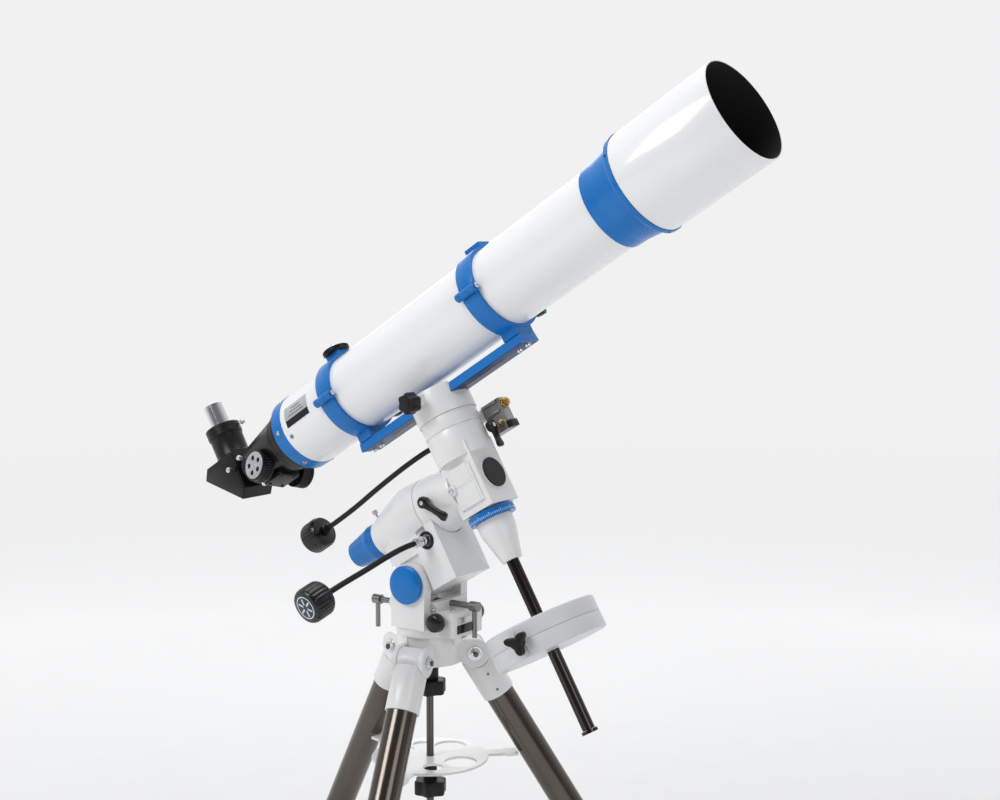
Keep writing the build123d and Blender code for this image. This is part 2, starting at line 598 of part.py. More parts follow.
def tail_and_focuser():
    inner = TUBE_R - TUBE_WALL
    tail = lathe_x(
        (TAIL_HOLE_R, TAIL_BACK), (60, TAIL_BACK), (65.6, -304), (65.6, TUBE_REAR), (inner, TUBE_REAR),
        (inner, -262), (inner - 3, -262), (inner - 3, -300), (TAIL_HOLE_R, -300))
    save("tail_ring", tail, TUBE)
    body = lathe_x(
        (0, FOCUSER_BACK), (37, FOCUSER_BACK), (52, -335), (53, -322), (58, -320), (58, TAIL_BACK),
        (TAIL_HOLE_R, TAIL_BACK), (TAIL_HOLE_R, -290), (0, -290))
    body += block((-400, -356), (-22, 22), (-52, -30))
    body += rod_y(12, -30, 30, PINION_T, PINION_H)
    body -= rod_x(DRAWTUBE_R + FIT, FOCUSER_BACK - 1, -280)
    for side in (-1, 1):
        body -= rod_y(FOCUS_KNOB_R + 1, *sorted((side * 31, side * 70)), PINION_T, PINION_H)
    body -= rod_y(3 + FIT, -40, 40, PINION_T, PINION_H)
    body -= rod_y(6, -10, 10, PINION_T, PINION_H)
    save("focuser_body", body, FOCUSER)
    draw = rod_x(DRAWTUBE_R, -436, -296) + rod_x(31, -441, -426)
    draw -= rod_x(NOSE_R + FIT, -442, -398) + rod_x(22, -400, -290)
    save("drawtube", draw, TUBE)
    knobs = rod_y(3, -54, 54, PINION_T, PINION_H)
    knobs += rod_y(5.5, -9, 9, PINION_T, PINION_H)
    for side in (-1, 1):
        turned = ribbed_knob(FOCUS_KNOB_R, 32, 54, 36)
        knobs += Pos(PINION_T, 0, PINION_H) * Rot(-90 * side, 0, 0) * turned
    save("focus_knobs", knobs, FOCUSER)


def diagonal():
    outline = [(-522, 40), (-536, 23), (-465, -45), (-450, -30), (-447, 40)]
    body = prism_y(outline, 33)
    body += rod_z(29.5, 38, 80, DIAGONAL_T) + rod_z(31, 80, 99, DIAGONAL_T)
    body += rod_x(NOSE_R, -449, -400)
    light = rod_x(21, DIAGONAL_T - 14, -398) + rod_z(21, 0, 66, DIAGONAL_T)
    mirror_side = Pos(DIAGONAL_T, 0, 0) * Rot(0, -45, 0) * block((-80, 80), (-40, 40), (0, 90))
    body -= light & mirror_side
    body -= rod_x(21, -470, -398)
    body -= rod_z(EYEPIECE_R + FIT, 40, 100, DIAGONAL_T)
    save("diagonal_body", body, TUBE)
    barrel = rod_z(EYEPIECE_R, 70, 142, DIAGONAL_T) - rod_z(EYEPIECE_BORE_R, 69, 143, DIAGONAL_T)
    save("eyepiece_barrel", barrel, TUBE)


# ---------------------------------------------------------------- slow-motion controls

def bend_radii(points):
    """The largest radius that each corner's two runs allow."""
    radii = []
    for before, corner, after in zip(points, points[1:], points[2:]):
        first = Vector(*corner) - Vector(*before)
        second = Vector(*after) - Vector(*corner)
        shorter = min(first.length, second.length)
        radii.append(0.45 * shorter / tan(radians(first.get_angle(second)) / 2))
    return radii


def control(name, route):
    """A flexible shaft along a route, and the knob on its end."""
    radii = bend_radii(route)
    print(name, "bend radii", [round(radius) for radius in radii])
    path = FilletPolyline(*route, radius=radii)
    section = Plane(origin=route[0], z_dir=Vector(*route[1]) - Vector(*route[0])) * Circle(CONTROL_R)
    shaft = sweep(section, path=path)
    volume = 3.14159 * CONTROL_R ** 2 * path.length
    print(name, "volume over section times length", round(shaft.volume / volume, 4))
    save(f"{name}_control_shaft", shaft)
    outward = Vector(*route[-1]) - Vector(*route[-2])
    knob = ribbed_knob(KNOB_R, GAP, KNOB_LENGTH, 24)
    knob = Plane(origin=route[-1], z_dir=outward).location * knob
    save(f"{name}_control_knob", knob)


os.makedirs("parts", exist_ok=True)
tripod_hub()
legs()
tray_parts()
azimuth_base()
azimuth_knobs()
altitude_bolts()
polar_housing()
polar_scope_cap()
ra_worm()
ra_wheel_and_shaft()
dec_housing()
clutch_levers()
dec_trim()
dec_shafts()
counterweight()
saddle_parts()
dovetail_bar()
rings()
main_tube()
objective()
tail_and_focuser()
diagonal()
control("ra", RA_ROUTE)
control("dec", DEC_ROUTE)
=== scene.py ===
import json
from math import cos, pi, radians, sin

import bmesh
import bpy
from mathutils import Matrix, Vector


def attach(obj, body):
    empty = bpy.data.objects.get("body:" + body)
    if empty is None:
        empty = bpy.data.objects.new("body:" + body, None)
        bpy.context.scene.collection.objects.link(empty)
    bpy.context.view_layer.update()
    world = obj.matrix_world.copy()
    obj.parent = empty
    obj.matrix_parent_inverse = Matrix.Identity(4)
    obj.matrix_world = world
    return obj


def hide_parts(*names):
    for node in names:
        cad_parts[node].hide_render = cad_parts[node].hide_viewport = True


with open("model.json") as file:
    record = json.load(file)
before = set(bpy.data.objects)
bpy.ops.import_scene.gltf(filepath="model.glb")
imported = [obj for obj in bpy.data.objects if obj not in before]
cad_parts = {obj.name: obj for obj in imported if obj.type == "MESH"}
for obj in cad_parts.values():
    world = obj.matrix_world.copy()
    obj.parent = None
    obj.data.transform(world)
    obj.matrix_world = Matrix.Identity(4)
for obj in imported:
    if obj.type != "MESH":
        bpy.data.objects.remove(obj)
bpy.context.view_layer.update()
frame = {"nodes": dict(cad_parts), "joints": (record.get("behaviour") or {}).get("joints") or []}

# ---------------------------------------------------------------- places, from the frame's joints

JOINTS = {joint["name"]: joint for joint in frame["joints"]}
POLAR_AXIS = Vector(JOINTS["ra_axis"]["axis"])
DEC_AXIS = Vector(JOINTS["dec_axis"]["axis"])
TUBE_AXIS = Vector(JOINTS["dovetail_slide"]["axis"])
HEAD = Vector(JOINTS["ra_axis"]["pos_m"])
DEC_FOOT = Vector(JOINTS["dec_axis"]["pos_m"])
MM = 0.001
TUBE_OVER_DEC = 0.2358  # metres along the declination axis, from the polar axis to the tube's
DEC_ON_POLAR = 109.3  # millimetres along the polar axis, from the head to the declination axis
LEG_ANGLES = {"a": 45.0, "b": 165.0, "c": 285.0}  # degrees about the vertical
LEG_SPREAD = 31.0  # degrees from the vertical


def axes_matrix(x_axis, z_axis, origin):
    """A frame in millimetres with these X and Z axes, as a matrix into the shared frame."""
    y_axis = z_axis.cross(x_axis)
    turn = Matrix((x_axis, y_axis, z_axis)).transposed().to_4x4()
    return Matrix.Translation(origin) @ turn @ Matrix.Scale(MM, 4)


def place(x, y, z):
    return Matrix.Translation((x, y, z))


def turned(axis, degrees):
    return Matrix.Rotation(radians(degrees), 4, axis)


# HEAD_MM: the shared frame's directions, from the head.
# DEC: X along the polar axis, Z along the declination axis.
# TUBE: X along the tube, Z up through the rings.
# FOCUSER: the same as TUBE, rolled about the tube.
FOCUSER_ROLL = -16  # degrees
HEAD_MM = axes_matrix(Vector((1, 0, 0)), Vector((0, 0, 1)), HEAD)
DEC = axes_matrix(POLAR_AXIS, DEC_AXIS, DEC_FOOT)
TUBE = axes_matrix(TUBE_AXIS, DEC_AXIS, DEC_FOOT + DEC_AXIS * TUBE_OVER_DEC)
FOCUSER = TUBE @ turned("X", FOCUSER_ROLL)
UNTURNED = Matrix.Identity(4)
ALONG_X = turned("Y", 90)
TOWARDS_NEAR = turned("X", 90)
TOWARDS_FAR = turned("X", -90)
BOTH_SIDES = (("near", TOWARDS_NEAR), ("far", TOWARDS_FAR))


def joint_mm(joint):
    """Millimetres from a joint's place, in the shared frame's directions."""
    return Matrix.Translation(JOINTS[joint]["pos_m"]) @ Matrix.Scale(MM, 4)


def ear_matrix(name):
    """A leg's pivot: X away from the hub, Y along the pivot bolt."""
    return joint_mm(f"leg_{name}_fold") @ turned("Z", LEG_ANGLES[name])


def leg_matrix(name):
    """Z runs down the leg from its pivot."""
    return ear_matrix(name) @ turned("Y", 180 - LEG_SPREAD)


# ---------------------------------------------------------------- camera and light

LENS_MM = 54.0
SENSOR_MM = 36.0
CAMERA_FROM_HEAD = (1.4579, -1.8846, 0.3704)
CAMERA_PITCH = 85.4  # degrees
CAMERA_HEADING = 35.0
FAR_CLIP = 60.0
LIGHT_TARGET = (0, 0, 1.0)
LIGHTS = (  # name, place, width, watts
    ("key", (-1.0, -2.6, 3.0), 1.5, 54), ("fill", (2.8, -1.0, 1.9), 1.4, 12),
    ("top", (0.2, 0.4, 3.8), 1.8, 30), ("back", (-1.8, 2.4, 2.2), 1.6, 12))
NEAR_SIDE = (0.61, -0.79, -0.15)  # the direction in which the room is darkest
SIDE_FROM, SIDE_TO = -0.45, 0.55  # how far towards that side the room darkens
ROOM_FAR, ROOM_NEAR = 0.8, 0.2  # strengths
BACKDROP = 0.88


def add_camera():
    camera = bpy.data.objects.new("camera", bpy.data.cameras.new("camera"))
    bpy.context.scene.collection.objects.link(camera)
    camera.data.lens = LENS_MM
    camera.data.sensor_width = SENSOR_MM
    camera.data.clip_end = FAR_CLIP
    camera.location = HEAD + Vector(CAMERA_FROM_HEAD)
    camera.rotation_euler = (radians(CAMERA_PITCH), 0, radians(CAMERA_HEADING))
    bpy.context.scene.camera = camera


def add_world():
    """A room darker on the near side; the camera itself sees a plain white backdrop."""
    world = bpy.data.worlds.new("studio")
    bpy.context.scene.world = world
    world.use_nodes = True
    nodes, links = world.node_tree.nodes, world.node_tree.links
    background = nodes["Background"]
    background.inputs["Color"].default_value = (0.97, 0.98, 1.0, 1)
    around = nodes.new("ShaderNodeTexCoord")
    side = nodes.new("ShaderNodeVectorMath")
    side.operation = "DOT_PRODUCT"
    side.inputs[1].default_value = NEAR_SIDE
    fade = nodes.new("ShaderNodeMapRange")
    fade.inputs["From Min"].default_value = SIDE_FROM
    fade.inputs["From Max"].default_value = SIDE_TO
    fade.inputs["To Min"].default_value = ROOM_FAR
    fade.inputs["To Max"].default_value = ROOM_NEAR
    links.new(around.outputs["Generated"], side.inputs[0])
    links.new(side.outputs["Value"], fade.inputs["Value"])
    links.new(fade.outputs["Result"], background.inputs["Strength"])
    backdrop = nodes.new("ShaderNodeBackground")
    backdrop.inputs["Color"].default_value = (1, 1, 1, 1)
    backdrop.inputs["Strength"].default_value = BACKDROP
    ray = nodes.new("ShaderNodeLightPath")
    mix = nodes.new("ShaderNodeMixShader")
    links.new(ray.outputs["Is Camera Ray"], mix.inputs["Fac"])
    links.new(background.outputs["Background"], mix.inputs[1])
    links.new(backdrop.outputs["Background"], mix.inputs[2])
    links.new(mix.outputs["Shader"], nodes["World Output"].inputs["Surface"])


def add_lights():
    for name, spot, size, power in LIGHTS:
        light = bpy.data.objects.new(name, bpy.data.lights.new(name, "AREA"))
        light.data.size = size
        light.data.energy = power
        light.location = spot
        aim = Vector(LIGHT_TARGET) - light.location
        light.rotation_euler = aim.to_track_quat("-Z", "Y").to_euler()
        bpy.context.scene.collection.objects.link(light)


def look():
    add_camera()
    add_world()
    add_lights()
    bpy.context.scene.view_settings.view_transform = "Standard"


# ---------------------------------------------------------------- materials

COAT_ROUGHNESS = 0.06
LEAST_ROUGHNESS = 0.02
BUMP_DEPTH = 0.0004
CLOUDS_PER_METRE = 9.0


def material(name, color, rough, grain, bump, blotch, metal=0.0, coat=0.0, stretch=(1, 1, 1),
             rough_spread=0.06, specular=0.5):
    """A surface with cloudy colour, uneven roughness and a fine grain."""
    made = bpy.data.materials.new(name)
    made.use_nodes = True
    nodes, links = made.node_tree.nodes, made.node_tree.links
    shader = nodes["Principled BSDF"]
    shader.inputs["Metallic"].default_value = metal
    shader.inputs["Coat Weight"].default_value = coat
    shader.inputs["Coat Roughness"].default_value = COAT_ROUGHNESS
    shader.inputs["Specular IOR Level"].default_value = specular
    places = nodes.new("ShaderNodeTexCoord")
    mapping = nodes.new("ShaderNodeMapping")
    mapping.inputs["Scale"].default_value = stretch
    links.new(places.outputs["Object"], mapping.inputs["Vector"])

    cloud = nodes.new("ShaderNodeTexNoise")
    cloud.inputs["Scale"].default_value = CLOUDS_PER_METRE
    cloud.inputs["Detail"].default_value = 6.0
    links.new(mapping.outputs["Vector"], cloud.inputs["Vector"])
    ramp = nodes.new("ShaderNodeValToRGB")
    ramp.color_ramp.elements[0].position = 0.3
    ramp.color_ramp.elements[1].position = 0.7
    ramp.color_ramp.elements[0].color = (*[c * (1 - blotch) for c in color], 1)
    ramp.color_ramp.elements[1].color = (*[min(1, c * (1 + blotch)) for c in color], 1)
    links.new(cloud.outputs["Fac"], ramp.inputs["Fac"])
    links.new(ramp.outputs["Color"], shader.inputs["Base Color"])

    fine = nodes.new("ShaderNodeTexNoise")
    fine.inputs["Scale"].default_value = grain
    fine.inputs["Detail"].default_value = 3.0
    links.new(mapping.outputs["Vector"], fine.inputs["Vector"])
    spread = nodes.new("ShaderNodeMapRange")
    spread.inputs["To Min"].default_value = max(LEAST_ROUGHNESS, rough - rough_spread)
    spread.inputs["To Max"].default_value = rough + rough_spread
    links.new(fine.outputs["Fac"], spread.inputs["Value"])
    links.new(spread.outputs["Result"], shader.inputs["Roughness"])
    lift = nodes.new("ShaderNodeBump")
    lift.inputs["Strength"].default_value = bump
    lift.inputs["Distance"].default_value = BUMP_DEPTH
    links.new(fine.outputs["Fac"], lift.inputs["Height"])
    links.new(lift.outputs["Normal"], shader.inputs["Normal"])
    return made


def glass_material():
    """Lens glass whose coating shifts from green to violet at the edges."""
    made = bpy.data.materials.new("coated_glass")
    made.use_nodes = True
    nodes, links = made.node_tree.nodes, made.node_tree.links
    shader = nodes["Principled BSDF"]
    shader.inputs["Transmission Weight"].default_value = 0.9
    shader.inputs["IOR"].default_value = 1.52
    shader.inputs["Roughness"].default_value = 0.02
    facing = nodes.new("ShaderNodeLayerWeight")
    facing.inputs["Blend"].default_value = 0.4
    ramp = nodes.new("ShaderNodeValToRGB")
    ramp.color_ramp.elements[0].color = (0.55, 0.75, 0.72, 1)
    ramp.color_ramp.elements[1].color = (0.55, 0.45, 0.75, 1)
    links.new(facing.outputs["Facing"], ramp.inputs["Fac"])
    links.new(ramp.outputs["Color"], shader.inputs["Base Color"])
    return made


WHITE = material("gloss_white_paint", (0.84, 0.845, 0.85), 0.22, coat=0.5, grain=520, bump=0.03,
                 blotch=0.012)
CAST_WHITE = material("cast_white_paint", (0.80, 0.80, 0.80), 0.34, coat=0.25, grain=700,
                      bump=0.12, blotch=0.02)
BLUE = material("gloss_blue_anodised", (0.0, 0.155, 0.50), 0.28, coat=0.12, grain=700, bump=0.05,
                blotch=0.05, specular=0.35)
# painted shade: a dark copy of the anodised blue, for the shaded underside of the dovetail bar
PAINTED_SHADE_BLUE = material("painted_shade_blue", (0.0, 0.03, 0.12), 0.35, grain=700, bump=0.06, blotch=0.05,
                     specular=0.3)
BLACK = material("moulded_black", (0.008, 0.008, 0.009), 0.42, grain=1100, bump=0.25, blotch=0.15,
                 specular=0.3)
GLOSS_BLACK = material("gloss_black", (0.005, 0.005, 0.006), 0.24, coat=0.15, grain=900, bump=0.06,
                       blotch=0.1, specular=0.35)
SATIN_BLACK = material("satin_black_anodised", (0.008, 0.008, 0.009), 0.34, grain=1400, bump=0.1,
                       blotch=0.1, specular=0.35)
MATT_BLACK = material("flock_black", (0.006, 0.006, 0.006), 0.9, grain=1500, bump=0.5, blotch=0.2)
RUBBER = material("rubber_black", (0.009, 0.009, 0.009), 0.5, grain=600, bump=0.3, blotch=0.1,
                  specular=0.3)
# painted reflection: the base colour is far darker than bare stainless, standing in for the dark
# room that the polished legs reflect
STAINLESS_PAINTED_DARK_REFLECTION = material("polished_stainless_painted_dark_reflection", (0.115, 0.10, 0.088), 0.18, metal=1.0, grain=60,
                     bump=0.02, blotch=0.16, stretch=(1, 1, 0.08), rough_spread=0.05)
DARK_STEEL = material("dark_polished_steel", (0.055, 0.048, 0.045), 0.16, metal=1.0, grain=90,
                      bump=0.02, blotch=0.25, stretch=(1, 1, 0.1), rough_spread=0.05)
CHROME = material("chrome", (0.72, 0.73, 0.75), 0.1, metal=1.0, grain=400, bump=0.01, blotch=0.04,
                  rough_spread=0.03)
BARE = material("bare_casting", (0.36, 0.35, 0.34), 0.42, metal=0.9, grain=500, bump=0.25,
                blotch=0.15)
BRASS = material("machined_brass", (0.56, 0.36, 0.12), 0.24, metal=1.0, grain=500, bump=0.06,
                 blotch=0.12)
WEIGHT_PAINT = material("weight_paint", (0.66, 0.665, 0.67), 0.38, coat=0.15, grain=420, bump=0.15,
                        blotch=0.03)
GREY_STEEL = material("turned_steel", (0.26, 0.25, 0.24), 0.3, metal=1.0, grain=500, bump=0.08,
                      blotch=0.15)
SILVER = material("satin_silver", (0.60, 0.61, 0.62), 0.3, metal=0.9, grain=800, bump=0.05,
                  blotch=0.05)
NAVY = material("navy_face", (0.01, 0.018, 0.05), 0.35, grain=800, bump=0.05, blotch=0.1)
PALE = material("pale_print", (0.62, 0.68, 0.74), 0.5, grain=700, bump=0.04, blotch=0.04)
TICK_WHITE = material("tick_white", (0.78, 0.82, 0.88), 0.5, grain=700, bump=0.04, blotch=0.03)
FLOOR = material("pale_floor", (0.86, 0.86, 0.86), 0.7, grain=40, bump=0.01, blotch=0.01)
GLASS = glass_material()

NODE_FINISH = {
    WHITE: ["main_tube"],
    CAST_WHITE: ["tripod_hub", "azimuth_base", "polar_housing", "dec_housing", "saddle",
                 "shaft_cone", "leg_a_socket", "leg_b_socket", "leg_c_socket", "tray"],
    BLUE: ["objective_cell", "tail_ring", "lower_rings", "upper_ring_rear", "upper_ring_front",
           "dovetail_bar", "polar_scope_cap", "dec_setting_circle", "altitude_pivot"],
    SATIN_BLACK: ["focuser_body", "drawtube", "diagonal_body", "focus_knobs", "ring_thumb_nut"],
    BLACK: ["polar_front_cap", "ra_control_knob", "dec_control_knob"],
    STAINLESS_PAINTED_DARK_REFLECTION: ["leg_a_upper_tube", "leg_b_upper_tube", "leg_c_upper_tube", "leg_a_lower_tube",
                "leg_b_lower_tube", "leg_c_lower_tube", "center_rod", "ra_shaft", "dec_shaft"],
    DARK_STEEL: ["counterweight_shaft", "shaft_end_stop"],
    CHROME: ["eyepiece_barrel", "ra_worm"],
    GREY_STEEL: ["altitude_bolt_south", "altitude_bolt_north"],
    BRASS: ["dec_worm", "ra_worm_wheel", "dec_worm_wheel"],
    BARE: ["dec_worm_carrier"],
    WEIGHT_PAINT: ["counterweight"],
    GLASS: ["objective_lenses"],
}

# ---------------------------------------------------------------- mesh helpers

SMOOTH_UNDER = 35.0  # degrees; sharper edges stay sharp
SMOOTH_UNDER_KNURL = 25
SAME_POINT = 0.001
KNURL_LOBE = 0.08
KNURL_THICK = 7


def piece(name, mesh, matrix, finish, body, smooth=SMOOTH_UNDER):
    """Put a mesh, made in millimetres, where its matrix says, and let it ride on a body."""
    mesh.transform(matrix)
    mesh.shade_smooth()
    mesh.set_sharp_from_angle(angle=radians(smooth))
    made = bpy.data.objects.new(name, mesh)
    bpy.context.scene.collection.objects.link(made)
    for one in finish if isinstance(finish, (list, tuple)) else [finish]:
        mesh.materials.append(one)
    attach(made, body)
    return made


def to_mesh(name, bm):
    bmesh.ops.recalc_face_normals(bm, faces=bm.faces)
    mesh = bpy.data.meshes.new(name)
    bm.to_mesh(mesh)
    bm.free()
    return mesh


def circle(radius, x=0.0, y=0.0, steps=48):
    angles = [2 * pi * k / steps for k in range(steps)]
    return [(x + radius * cos(angle), y + radius * sin(angle)) for angle in angles]


def ring_of_verts(bm, outline, z):
    return [bm.verts.new((x, y, z)) for x, y in outline]


def skin(bm, rings):
    """Faces between each ring of vertices and the next; a ring of one vertex is a point."""
    for low, high in zip(rings, rings[1:]):
        for k in range(max(len(low), len(high))):
            corners = [low[k % len(low)], low[(k + 1) % len(low)],
                       high[(k + 1) % len(high)], high[k % len(high)]]
            bm.faces.new(list(dict.fromkeys(corners)))


def lathe_mesh(name, profile, steps=96):
    """A closed solid turned about Z from (radius, z) points; a radius of 0 is on the axis."""
    bm = bmesh.new()
    rings = []
    for radius, z in profile:
        rings.append(ring_of_verts(bm, circle(radius, steps=steps) if radius else [(0, 0)], z))
    if profile[0][0] and profile[-1][0]:
        rings.append(rings[0])
    skin(bm, rings)
    return to_mesh(name, bm)


def disc(name, radius, low, high, edge, steps=96):
    """A button: flat ends with a rounded rim."""
    bend = edge * (1 - cos(pi / 4))
    return lathe_mesh(name, [
        (0, low), (radius - edge, low), (radius - bend, low + bend), (radius, low + edge),
        (radius, high - edge), (radius - bend, high - bend), (radius - edge, high),
        (0, high)], steps)


def washer(name, inner, outer, low, high, edge, steps=96):
    """A ring with its outer rim chamfered."""
    return lathe_mesh(name, [
        (inner, low), (outer - edge, low), (outer, low + edge), (outer, high - edge),
        (outer - edge, high), (inner, high)], steps)


def block_mesh(name, size, edge):
    """A box about the origin with rounded edges."""
    bm = bmesh.new()
    bmesh.ops.create_cube(bm, size=1.0)
    bmesh.ops.scale(bm, vec=size, verts=bm.verts)
    bmesh.ops.bevel(bm, geom=bm.edges[:], offset=edge, segments=3, affect="EDGES", profile=0.5)
    return to_mesh(name, bm)


def plate_mesh(name, loops, thick, edge):
    """A flat plate from closed outlines in XY; an outline inside another is a hole."""
    curve = bpy.data.curves.new(name, "CURVE")
    curve.dimensions = "2D"
    curve.fill_mode = "BOTH"
    curve.extrude = max(0.01, thick / 2 - edge)
    curve.bevel_depth = edge
    curve.bevel_resolution = 2
    curve.offset = -edge
    for loop in loops:
        spline = curve.splines.new("POLY")
        spline.points.add(len(loop) - 1)
        for point, (x, y) in zip(spline.points, loop):
            point.co = (x, y, 0, 1)
        spline.use_cyclic_u = True
    holder = bpy.data.objects.new(name, curve)
    bpy.context.scene.collection.objects.link(holder)
    bpy.context.view_layer.update()
    mesh = bpy.data.meshes.new_from_object(holder)
    bpy.data.objects.remove(holder)
    bpy.data.curves.remove(curve)
    bm = bmesh.new()
    bm.from_mesh(mesh)
    bmesh.ops.remove_doubles(bm, verts=bm.verts, dist=SAME_POINT)
    bpy.data.meshes.remove(mesh)
    return to_mesh(name, bm)


def lobes(radius, count, depth, steps=180, power=1.0):
    """A star knob's outline."""
    outline = []
    for k in range(steps):
        angle = 2 * pi * k / steps
        wave = (0.5 + 0.5 * cos(count * angle)) ** power
        reach = radius * (1 - depth * (1 - wave))
        outline.append((reach * cos(angle), reach * sin(angle)))
    return outline


def joined(name, parts):
    """Several meshes, each with its own matrix, as one."""
    bm = bmesh.new()
    for mesh, matrix in parts:
        mesh.transform(matrix)
        bm.from_mesh(mesh)
        bpy.data.meshes.remove(mesh)
    return to_mesh(name, bm)


def screw_head(name, radius, height, matrix, body, finish=CHROME, steps=32):
    """A cap screw: a rounded head with a socket in it."""
    hole = radius * 0.45
    floor_z = height * 0.4
    profile = [(0, 0), (radius, 0), (radius, height * 0.7), (radius * 0.9, height),
               (hole, height), (hole, floor_z), (0, floor_z)]
    piece(name, lathe_mesh(name, profile, steps), matrix, finish, body)


def thumbscrew(shank, lobe_radius, lobe_count, middle, edge, cap=None):
    """A knurled thumbscrew along Z; shank and cap are (radius, start, end, edge)."""
    outline = lobes(lobe_radius, lobe_count, KNURL_LOBE, 8 * lobe_count)
    parts = [(disc("shank", *shank, steps=24), UNTURNED),
             (plate_mesh("head", [outline], KNURL_THICK, edge), place(0, 0, middle))]
    if cap:
        parts.append((disc("cap", *cap, steps=24), UNTURNED))
    return joined("screw", parts)


# ---------------------------------------------------------------- control shafts

# millimetres from the head; each knob's end comes last
RA_ROUTE = [
    (29.13, -58.4, -37.45), (27.4, -90.0, -39.5), (15.0, -122.0, -52.0), (-4.0, -156.0, -72.0),
    (-24.2, -190.1, -91.0), (-27.9, -222.1, -101.9)]
DEC_ROUTE = [
    (-6.9, 48.0, 107.4), (-40.0, 48.6, 90.6), (-78.0, 50.5, 68.0), (-118.0, 53.0, 42.0),
    (-160.0, 55.5, 13.0), (-200.0, 58.0, -16.0), (-238.0, 59.4, -41.5), (-276.0, 60.0, -65.5)]
CONTROL_R = 4.5
NECK = [(0, -13), (6.4, -13), (7.2, -12), (7.2, -6), (9.5, -5), (9.5, 0.2), (0, 0.2)]
FERRULE = [(0, 0.2), (7.0, 0.2), (7.6, 1.0), (7.6, 15), (6.6, 17), (5.2, 17.5), (0, 17.5)]
DRUM_R = 28.0 - 0.8  # between its ribs
KNOB_RIBS = 30
RIB_HIGH = 0.7
KNOB_FACE = 38.0  # the distance of the knob's face from its back
FACE_SPOKES = 6
KNOB_RINGS = (  # z, ribbed, how far inside the drum
    (0.3, False, 5), (1.2, False, 2.2), (3.5, False, 0.6), (6, True, 0), (20, True, 0),
    (33, True, 0), (35.5, False, 0.6), (37.2, False, 2), (KNOB_FACE, False, 4.5))


def end_matrix(point, direction):
    """Millimetres from a point of a route, with Z in the direction given."""
    outward = direction.normalized()
    return axes_matrix(outward.orthogonal().normalized(), outward, point)


def control(name, route, body, knob_body):
    """A flexible shaft from its ferrule to its knob."""
    points = [HEAD_MM @ Vector(point) for point in route]
    curve = bpy.data.curves.new(f"{name}_flexible_shaft", "CURVE")
    curve.dimensions = "3D"
    curve.bevel_depth = CONTROL_R * MM
    curve.bevel_resolution = 6
    curve.resolution_u = 16
    curve.use_fill_caps = True
    spline = curve.splines.new("NURBS")
    spline.points.add(len(points) - 1)
    for point, at in zip(spline.points, points):
        point.co = (*at, 1)
    spline.order_u = 3
    spline.use_endpoint_u = True
    shaft = bpy.data.objects.new(f"{name}_flexible_shaft", curve)
    bpy.context.scene.collection.objects.link(shaft)
    curve.materials.append(RUBBER)
    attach(shaft, body)
    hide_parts(f"{name}_control_shaft")

    at_knob = end_matrix(points[-1], points[-1] - points[-2])
    neck = piece(f"{name}_knob_neck", lathe_mesh("neck", NECK, 48), at_knob, GLOSS_BLACK,
                 knob_body)
    at_root = end_matrix(points[0], points[1] - points[0])
    ferrule = piece(f"{name}_shaft_ferrule", lathe_mesh("ferrule", FERRULE, 48), at_root, CHROME,
                    body)
    knob = knob_piece(name, at_knob, knob_body)


def knob_piece(name, at_knob, body):
    """A control knob: a ribbed black drum with a plain generic face."""
    bm = bmesh.new()
    rings = []
    steps = KNOB_RIBS * 6
    for z, ribbed, inside in KNOB_RINGS:
        outline = []
        for k in range(steps):
            angle = 2 * pi * k / steps
            rib = RIB_HIGH * max(0.0, cos(KNOB_RIBS * angle)) if ribbed else 0
            reach = DRUM_R - inside + rib
            outline.append((reach * cos(angle), reach * sin(angle)))
        rings.append(ring_of_verts(bm, outline, z))
    skin(bm, rings)
    bm.faces.new(rings[0][::-1])
    bm.faces.new(rings[-1])
    drum = piece(f"{name}_knob_drum", to_mesh("drum", bm), at_knob, GLOSS_BLACK, body,
                 SMOOTH_UNDER_KNURL)
    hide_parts(f"{name}_control_knob")
    face = piece(f"{name}_knob_face", disc("face", 20, KNOB_FACE - 0.5, KNOB_FACE + 0.4, 0.3),
                 at_knob, NAVY, body)
    ring = piece(f"{name}_knob_ring", washer("ring", 16.6, 18.4, KNOB_FACE, KNOB_FACE + 0.6, 0.2),
                 at_knob, PALE, body)
    spokes = []
    for k in range(FACE_SPOKES):
        at = turned("Z", 360 / FACE_SPOKES * k) @ place(9.5, 0, KNOB_FACE + 0.45)
        spokes.append((block_mesh("spoke", (10, 3.0, 0.5), 0.2), at))
    fan = piece(f"{name}_knob_spokes", joined("spokes", spokes), at_knob, PALE, body)
    return [drum, face, ring, fan]


# ---------------------------------------------------------------- optical tube

ROUND_TUBE = TUBE @ ALONG_X  # Z along the tube, for lathed pieces
DEW_SHIELD = [(77.0, 498.0), (79.0, 498.0), (79.4, 498.5), (79.4, 675.4), (79.0, 676.0),
              (77.4, 676.0), (77.0, 675.6)]
DEW_SHIELD_INSIDE = 77.3  # faces nearer to the axis than this are flocked
LINING = [(59.5, 452), (62.8, 450), (62.8, -270), (62.2, -270), (62.2, 449), (59.0, 451)]
LENS_RETAINER = [(59, 481.5), (70.5, 481.5), (70.5, 520), (69.8, 521), (66, 521), (61, 486),
                 (59, 485)]
BAFFLES = (("tube_baffle_front", 250.0), ("tube_baffle_rear", 60.0))
PLATE_RADII = (65.1, 65.6)  # the tube is 65 in radius
PLATE_ENDS = (-267, -208)
PLATE_FROM = -1  # degrees up the near side
PLATE_SPAN = 31
PLATE_ROWS = 24
DARK_ROWS = 8
PRINT_R = 65.8
PRINT_MIDDLE = -237.5
TAIL_RING_SCREWS = (-152, -92, -32, 28, 88, 148)  # degrees about the tube
TUBE_SCREWS = (104, 224, 344)
CELL_SCREWS = (60, 180, 300)
REAR_RING = -158.5  # the middle of the rear tube ring, along the tube
